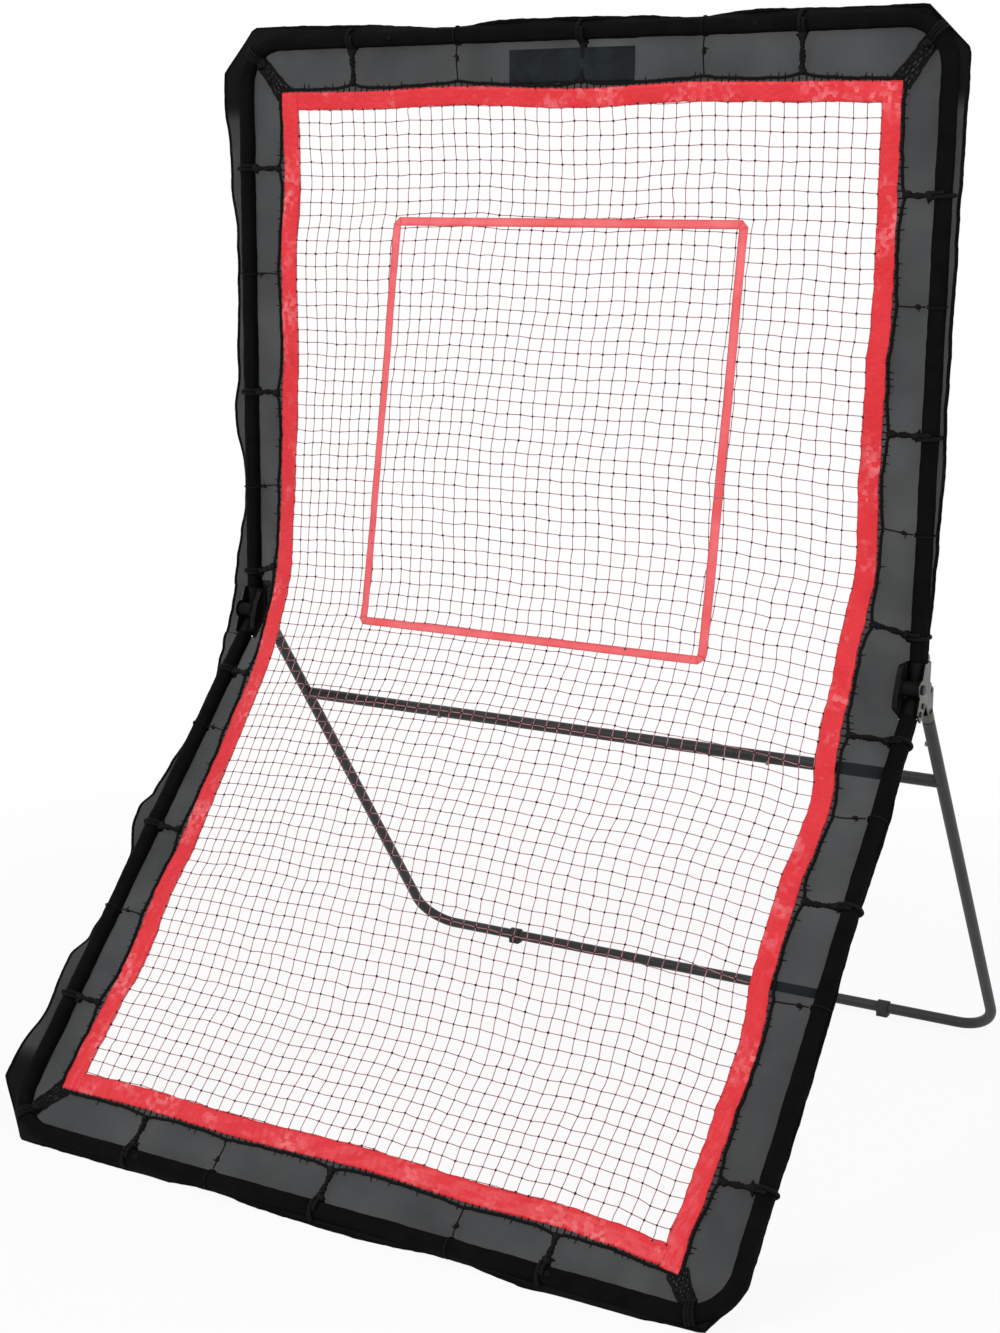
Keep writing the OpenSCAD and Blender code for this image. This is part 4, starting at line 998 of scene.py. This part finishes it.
def panel_run(which):
    """the tube line of one panel from its left hinge over the bar to its right hinge: x, s, outward x, s"""
    straight = np.arange(SLEEVE_START, CORNER_S[which], 6.0)
    turn = np.linspace(math.pi, math.pi / 2, 17)
    bar = np.arange(-CORNER_X, CORNER_X + 0.1, 6.0)
    left = np.stack(np.broadcast_arrays(-SIDE_X, straight, -1.0, 0.0), -1)
    corner = np.stack([-CORNER_X + CORNER_R * np.cos(turn), CORNER_S[which] + CORNER_R * np.sin(turn),
                       np.cos(turn), np.sin(turn)], -1)
    middle = np.stack(np.broadcast_arrays(bar, LENGTH[which], 0.0, 1.0), -1)
    half = np.concatenate([left, corner])
    mirror = half[::-1] * np.array([-1, 1, -1, 1])
    return np.concatenate([half, middle[1:-1], mirror])


def make_sleeves():
    """the cloth drawn tight round the tubes, with the small wrinkles of a sewn tunnel and its seam"""
    for which in PANELS:
        run = panel_run(which)
        x, s, out_x, out_s = run.T[:, :, None]
        t, a = distances(run[:, :2])[:, None], np.linspace(0, math.tau, 25)[None, :-1]
        swell = 0.45 * creases(a * 11, t, 60, 91) + 0.25 * creases(a * 11, t, 21, 92)
        proud = np.clip(swell, -0.3, 1) + 0.9 * np.exp(-((a - 2.4) / 0.18) ** 2)
        skins = []
        for radius in (SLEEVE_R, SLEEVE_R - 0.7):
            outward = (radius + proud) * np.cos(a)
            skins.append(on_panel(which, x + outward * out_x, s + outward * out_s,
                                  (radius + proud) * np.sin(a)))
        points, faces, _ = slab(*skins, around=True)
        flat = np.stack(np.broadcast_arrays(a * SLEEVE_R, t), -1).reshape(-1, 2) * MM
        sleeve = piece("cover_sleeve_" + which, points, faces, np.concatenate([flat, flat]),
                       SLEEVE_CLOTH)
        settle(sleeve, "mesh_cloth", "cover_" + which, body=which + "_frame")


def round_both(tube_line, hinge_line):
    """a closed line round both panels: upper left to upper right, down past the hinge, and back"""
    return np.concatenate([tube_line("upper"), hinge_line(RIGHT), tube_line("lower")[::-1],
                           hinge_line(LEFT)[::-1]])


def web_outer(which):
    """the web's outer edge, inside the sleeve's line"""
    x, s, out_x, out_s = panel_run(which).T
    return on_panel(which, x - WEB_IN * out_x, s - WEB_IN * out_s, WEB_W)


def web_outer_at_hinge(side):
    """the web's outer edge past a hinge, from the upper sleeve to the lower one"""
    x = side * (SIDE_X - BESIDE_HINGE)
    at_fold = (on_panel("upper", x, [0.0], WEB_W) + on_panel("lower", x, [0.0], WEB_W)) / 2
    return np.concatenate([on_panel("upper", x, PAST_HINGE, WEB_W), at_fold,
                           on_panel("lower", x, PAST_HINGE[::-1], WEB_W)])


def web_inner(which):
    """the web's inner edge, behind the border tape, level with each place on the tubes"""
    points = []
    for x, s, out_x, out_s in panel_run(which):
        side = RIGHT if x > 0 else LEFT
        if s <= CORNER_S[which] or abs(out_x) == 1:   # a side tube
            t = float(along_of(which, s))
            t = max(t, 14.0) if which == "upper" else min(t, EDGE_LENGTH - 22)
            points.append(past_edge(side, t, -WEB_LAP, WEB_BEHIND))
        elif abs(x) <= CORNER_X:                      # the bar
            points.append(past_edge(which, x * (NET_HALF - 16) / CORNER_X, -WEB_LAP, WEB_BEHIND))
        else:                                         # a corner
            lean = math.atan2(abs(out_s), abs(out_x)) / (math.pi / 2)
            t = 6 + 8 * (1 - lean) if which == "upper" else EDGE_LENGTH - 14 - 8 * (1 - lean)
            points.append(past_edge(side, t, -WEB_LAP - 4 * lean, WEB_BEHIND))
    return np.array(points)


def web_inner_at_hinge(side):
    """the web's inner edge past a hinge"""
    t = np.concatenate([along_of("upper", PAST_HINGE), [EDGE_LENGTH / 2 - 10],
                        along_of("lower", PAST_HINGE[::-1])])
    return past_edge(side, t, -WEB_LAP, WEB_BEHIND)


def make_web():
    """the cloth between the tubes and the net"""
    edge, rim = round_both(web_outer, web_outer_at_hinge), round_both(web_inner, web_inner_at_hinge)
    share = np.linspace(0, 1, 11)[None, :]
    steps = distances(edge)
    wide = np.linalg.norm(edge - rim, axis=1)
    u, v = share * wide[:, None], steps[:, None]
    lift = np.sin(share * math.pi) * (2.2 * creases(u, v, 120, 95) + 1.0 * creases(u * 2, v, 48, 96))
    front = edge[:, None] * (1 - share[..., None]) + rim[:, None] * share[..., None] \
        + lift[..., None] * FOLD_AHEAD
    web = piece("cover_web", *slab(front, front - 0.5 * FOLD_AHEAD, loop=True), WEB_CLOTH)
    settle(web, "mesh_cloth", "cover_bend")


FLAP = {   # how far the loose hem stands out from the tubes' line; the thin ties pinch it
    ("upper", LEFT): ((0, 47), (45, 38), (80, 33), (120, 27), (165, 17.5), (200, 17.5), (315, 31),
                      (370, 24), (480, 23.5), (520, 21), (560, 24), (640, 33), (760, 39), (779, 39)),
    ("upper", RIGHT): ((0, 12.5), (80, 13.3), (120, 16.5), (200, 19.6), (280, 21), (600, 22), (779, 24)),
    ("upper", "bar"): ((-464, 22.5), (-330, 20), (-180, 11.8), (-90, 18.8), (0, 18.5), (110, 16.5),
                       (180, 11.8), (270, 18.3), (405, 16.5), (464, 16.5)),
    ("lower", LEFT): ((0, 47), (45, 36), (80, 26), (125, 17), (205, 16), (280, 20.5), (325, 27),
                      (352, 41), (368, 38.5), (434, 16), (515, 13.5), (560, 20), (595, 39.5), (680, 34),
                      (725, 43.5), (785, 44)),
    ("lower", RIGHT): ((0, 12.3), (120, 12.3), (200, 16), (320, 12.3), (380, 12.5), (470, 15),
                       (600, 14.5), (700, 12.3), (785, 12.3)),
    ("lower", "bar"): ((-464, 17.6), (-280, 17.8), (-180, 13), (-90, 19), (30, 20.7), (175, 12.8),
                       (318, 24.5), (400, 20), (464, 15)),
}
CHAMFER = {("upper", LEFT): (50, 62), ("upper", RIGHT): (54, 54),   # the hem cuts the corners off: x, s
           ("lower", LEFT): (69, 76), ("lower", RIGHT): (34, 62)}
HEM_W, HEM_HALF_THICK = 5.0, 1.1


def flap_width(which, x, s):
    """how far the loose hem stands out from the tube's line"""
    side = LEFT if x < 0 else RIGHT
    past_x, past_s = abs(x) - CORNER_X, s - CORNER_S[which]
    if past_x > 0 and past_s > 0:
        wide_x = CORNER_R + float(through(CORNER_S[which], *FLAP[which, side]))
        wide_s = CORNER_R + float(through(side * CORNER_X, *FLAP[which, "bar"]))
        far = math.hypot(past_x, past_s)
        a, b = past_x / far, past_s / far
        cut_x, cut_s = CHAMFER[which, side]
        reach = (wide_x / cut_x + wide_s / cut_s - 1) / (a / cut_x + b / cut_s)
        return max(min(wide_x / max(a, 1e-6), wide_s / max(b, 1e-6), reach) - CORNER_R, SLEEVE_R + 1)
    if past_s > 0:
        return float(through(x, *FLAP[which, "bar"])) + 0.5 * float(ripple(x, 60, 9))
    return float(through(s, *FLAP[which, side])) + 0.5 * float(ripple(s, 60, 12 + side))


def flap_painted_shade(which, x, s):
    """how far the loose cloth is painted near-black as shade: wholly at the bars and corners, hardly by the
    left hinge
    """
    length = LENGTH[which]
    share = through(s, (0, 0), (260, 0.1), (length - 160, 0.5), (length - 70, 1), (length + 1, 1))
    return max(0.0 if x < 0 else 0.7, float(share))


def flap_along(which):
    """the flap's stations along one panel's tubes"""
    run = panel_run(which)
    for (x, s, out_x, out_s), t in zip(run, distances(run[:, :2])):
        def place(out, w, x=x, s=s, out_x=out_x, out_s=out_s):
            return on_panel(which, x + out * out_x, s + out * out_s, w)
        wide = flap_width(which, x, s)
        wave = min(1.0, (wide - SLEEVE_R) / 8) * (2.6 * math.sin(t / 47 + 2 * math.sin(t / 131))
                                                  + 1.6 * math.sin(t / 19 + 1.3))
        yield place, (SLEEVE_R - 1.5, wide), (0.0, wave - 1.5), flap_painted_shade(which, x, s)


def flap_past_hinge():
    """the flap's stations past the left hinge, from the lower sleeve to the upper one"""
    near = [SLEEVE_START - 0.8, 27.0, 13.0]
    for which, s in [("lower", s) for s in near] + [("fold", 0.0)] + [("upper", s) for s in near[::-1]]:
        sides = PANELS if which == "fold" else (which,)

        def place(out, w, s=s, sides=sides):
            return sum(on_panel(one, LEFT * (SIDE_X + out), s, w) for one in sides) / len(sides)
        wide = flap_width("lower" if which == "fold" else which, LEFT * SIDE_X, s)
        yield place, (BESIDE_HINGE, wide), (WEB_W, -1.5), 0.0


def make_flap():
    """the loose cloth outside the tubes and its bound hem, open at the right hinge"""
    stations = [*list(flap_along("lower"))[::-1], *flap_past_hinge(), *flap_along("upper")]

    def lines(shares, extra=0.0, lift=0.0):
        """points across the flap at each station, from the sleeve (0) to the hem's edge (1)"""
        return np.array([place(near * (1 - shares) + wide * shares + extra,
                               first * (1 - shares) + last * shares + lift)
                         for place, (near, wide), (first, last), _ in stations])
    shares = np.linspace(0, 0.93, 6)
    front = lines(shares, lift=0.3)
    flap = piece("cover_flap", *slab(front, lines(shares, lift=-0.3)), FLAP_CLOTH)
    # how much of each station is painted near-black as shade
    shade_share = np.repeat([station[3] for station in stations], len(shares))
    flap.data.attributes.new("painted_shade", "FLOAT", "POINT").data.foreach_set("value", np.tile(shade_share, 2))
    settle(flap, "mesh_cloth")
    edge = np.array([1.0])
    line, inside = lines(edge)[:, 0], lines(edge, extra=-HEM_W)[:, 0]
    centre, half = (line + inside) / 2, (line - inside) / 2
    ring = np.linspace(0, math.tau, 9)[None, :-1]
    skin = centre[:, None] + np.cos(ring)[..., None] * half[:, None] \
        + (HEM_HALF_THICK * np.sin(ring))[..., None] * FOLD_AHEAD
    rows, cols = skin.shape[:2]
    at = np.arange(rows * cols).reshape(rows, cols)
    faces = [(at[i, j], at[i + 1, j], at[i + 1, (j + 1) % cols], at[i, (j + 1) % cols])
             for i in range(rows - 1) for j in range(cols)]
    faces += [tuple(at[0, ::-1]), tuple(at[-1])]
    steps = distances(centre)
    flat = np.stack(np.broadcast_arrays(ring * HEM_W / 2, steps[:, None]), -1).reshape(-1, 2) * MM
    hem = piece("cover_hem", skin.reshape(-1, 3), faces, flat, HEM_CLOTH)
    settle(hem, "mesh_cloth")


LABEL_X, LABEL_S = (-89, 98), (773, 818)
LABEL_HUMP = 4.6        # how far the label stands out over the tie behind it


def make_label():
    """the bare patch sewn on the upper cloth"""
    x, s = np.linspace(*LABEL_X, 64)[None, :], np.linspace(*LABEL_S, 14)[:, None]
    edge = np.minimum(np.minimum(x - LABEL_X[0], LABEL_X[1] - x) / 3,
                      np.minimum(s - LABEL_S[0], LABEL_S[1] - s) / 3)
    w = -2.4 + 0.7 * creases(x, s, 110, 97) - 0.5 * (1 - np.clip(edge, 0, 1))
    w = w + LABEL_HUMP * np.exp(-((x - UNDER_LABEL) / 9) ** 2)
    w = w - 0.45 * np.exp(-((edge - 1.0) / 0.35) ** 2)
    skin = slab(on_panel("upper", x, s, w), on_panel("upper", x, s, w - 1.2))
    settle(piece("cover_label", *skin, LABEL_CLOTH), "label_cloth", "label_patch", body="upper_frame")


make_sleeves()
make_web()
make_flap()
make_label()

# -------- the guards over the hinges

GUARD_DEEP = 7.5        # how far a guard stands off the housing's inner cheek


def guard_ring(arm, crest, foot):
    """one end of a guard in profile: up one arm, over the crest and down the other, as panel, s, w"""
    return [*(("upper", s, w) for s, w in arm), ("upper", *crest),
            *(("lower", s, w) for s, w in arm[::-1]), ("upper", *foot)]


def make_hinge_guards():
    """the moulded covers over the pin and rivet heads on the net's side of each hinge"""
    base = guard_ring([(39, -3), (40, 4), (36, 13), (22, 25)], (8, 31), (0, -3))
    top = guard_ring([(36, 11), (36, 12.5), (34, 15), (20, 24)], (8, 28.5), (0, 13))
    count = len(base)
    faces = [(k, (k + 1) % count, count + (k + 1) % count, count + k) for k in range(count)]
    faces += [tuple(range(count)), tuple(range(count, 2 * count))]
    for side, name in ((LEFT, "left"), (RIGHT, "right")):
        points = [on_panel(which, side * (SIDE_X - inset), s, w)
                  for inset, ring in ((CHEEK_OUT + 0.2, base), (CHEEK_OUT + GUARD_DEEP, top))
                  for which, s, w in ring]
        guard = piece("hinge_guard_" + name, points, faces, None, GUARD_PLASTIC, shade=False)
        edges = guard.modifiers.new("rounded edges", "BEVEL")
        edges.width, edges.segments, edges.limit_method = 2.2 * MM, 3, "NONE"
        settle(guard, "hinge_coat", body="lower_frame")


make_hinge_guards()

# -------- finishes of the CAD's own pieces

FINISHES = {   # by the start of a node's name; a longer start comes after a shorter one
    "upper_tube": BLACK_COAT, "lower_tube": BLACK_COAT, "top_bar": BLACK_COAT, "bottom_bar": BLACK_COAT,
    "hinge_housing": HOUSING, "hinge_arm": BLACK_COAT, "fold_pins": BLACK_RIVET,
    "housing_rivets": BLACK_RIVET, "arm_rivets": BLACK_RIVET, "ratchet": ZINC, "pawl": ZINC,
    "leg": GREY_COAT, "crossbar": GREY_COAT, "foot": RUBBER, "snap": BUTTON_STEEL,
    "snap_button_top": COVERED_STEEL, "snap_button_bottom": COVERED_STEEL,
}
for node_name, cad_node in CAD.items():
    for start, finish in FINISHES.items():
        if node_name.startswith(start):
            cad_node.data.materials.clear()
            cad_node.data.materials.append(finish)

# -------- floor, light and camera


def seen_directly(tree):
    """1 where the camera, a reflection or clear stuff sees the surface, and 0 where it only lights"""
    path = add(tree, "ShaderNodeLightPath").outputs
    seen = add(tree, MATH, {0: path["Is Camera Ray"], 1: path["Is Glossy Ray"]},
               operation="MAXIMUM")
    return add(tree, MATH, {0: seen, 1: path["Is Transmission Ray"]}, operation="MAXIMUM")


def pale_floor():
    """matt white paper that fades into the plain background away from the object"""
    made, tree, shader = finish_of("pale studio floor", "#F4F4F4", 0.9)
    node = partial(add, tree)
    place = node("ShaderNodeTexCoord").outputs["Object"]
    away = node("ShaderNodeVectorMath", {0: place}, operation="LENGTH").outputs["Value"]
    fade = node("ShaderNodeMapRange", {"Value": away, "From Min": 0.9, "From Max": 2.4, "To Min": 0.9,
                                       "To Max": 1.0}, interpolation_type="SMOOTHSTEP")
    share = node(MATH, {0: fade, 1: seen_directly(tree)}, operation="MULTIPLY")
    glow = node("ShaderNodeEmission", {"Strength": 1.0})
    pale = node("ShaderNodeMixShader", {0: share, 1: shader, 2: glow})
    tree.links.new(pale.outputs[0], tree.nodes["Material Output"].inputs["Surface"])
    return made


def lamp(name, place, target, size, power):
    """a round soft light aimed at a place"""
    light = bpy.data.lights.new(name, "AREA")
    light.shape, light.size, light.energy = "DISK", size, power
    made = bpy.data.objects.new(name, light)
    made.location = place
    made.rotation_mode = "QUATERNION"
    made.rotation_quaternion = (Vector(target) - Vector(place)).to_track_quat("-Z", "Y")
    SCENE.collection.objects.link(made)


def view_from(place, yaw, pitch, roll, lens):
    """the camera, turned by angles in degrees from looking level along y"""
    data = bpy.data.cameras.new("camera")
    data.lens, data.sensor_width, data.sensor_fit = lens, 36, "AUTO"
    made = bpy.data.objects.new("camera", data)
    turned = Matrix.Translation(place)
    for angle, axis in ((-yaw, "Z"), (90 - pitch, "X"), (roll, "Z")):
        turned = turned @ Matrix.Rotation(math.radians(angle), 4, axis)
    made.matrix_world = turned
    SCENE.collection.objects.link(made)
    SCENE.camera = made


bpy.ops.mesh.primitive_plane_add(size=40, location=(0, 0, -0.0005))
ground = bpy.context.object
ground.name = "studio_floor"
ground.data.materials.append(pale_floor())

world = bpy.data.worlds.new("plain studio")
SCENE.world = world
world.use_nodes = True
sky = world.node_tree
dim = sky.nodes["Background"]
dim.inputs["Color"].default_value = (1, 1, 1, 1)
dim.inputs["Strength"].default_value = 0.55
white = add(sky, "ShaderNodeBackground", {"Color": (1, 1, 1, 1), "Strength": 1.0})
mix = add(sky, "ShaderNodeMixShader", {0: seen_directly(sky), 1: dim, 2: white})
sky.links.new(mix.outputs[0], sky.nodes["World Output"].inputs["Surface"])

lamp("key", (-1.6, -3.4, 3.4), (0, 0, 0.8), 1.8, 66)
lamp("fill", (3.2, -2.2, 2.2), (0, 0, 0.8), 2.2, 38)
view_from((1.2859, -2.5205, 1.1453), yaw=-28.565, pitch=10.526, roll=1.585, lens=54.87)
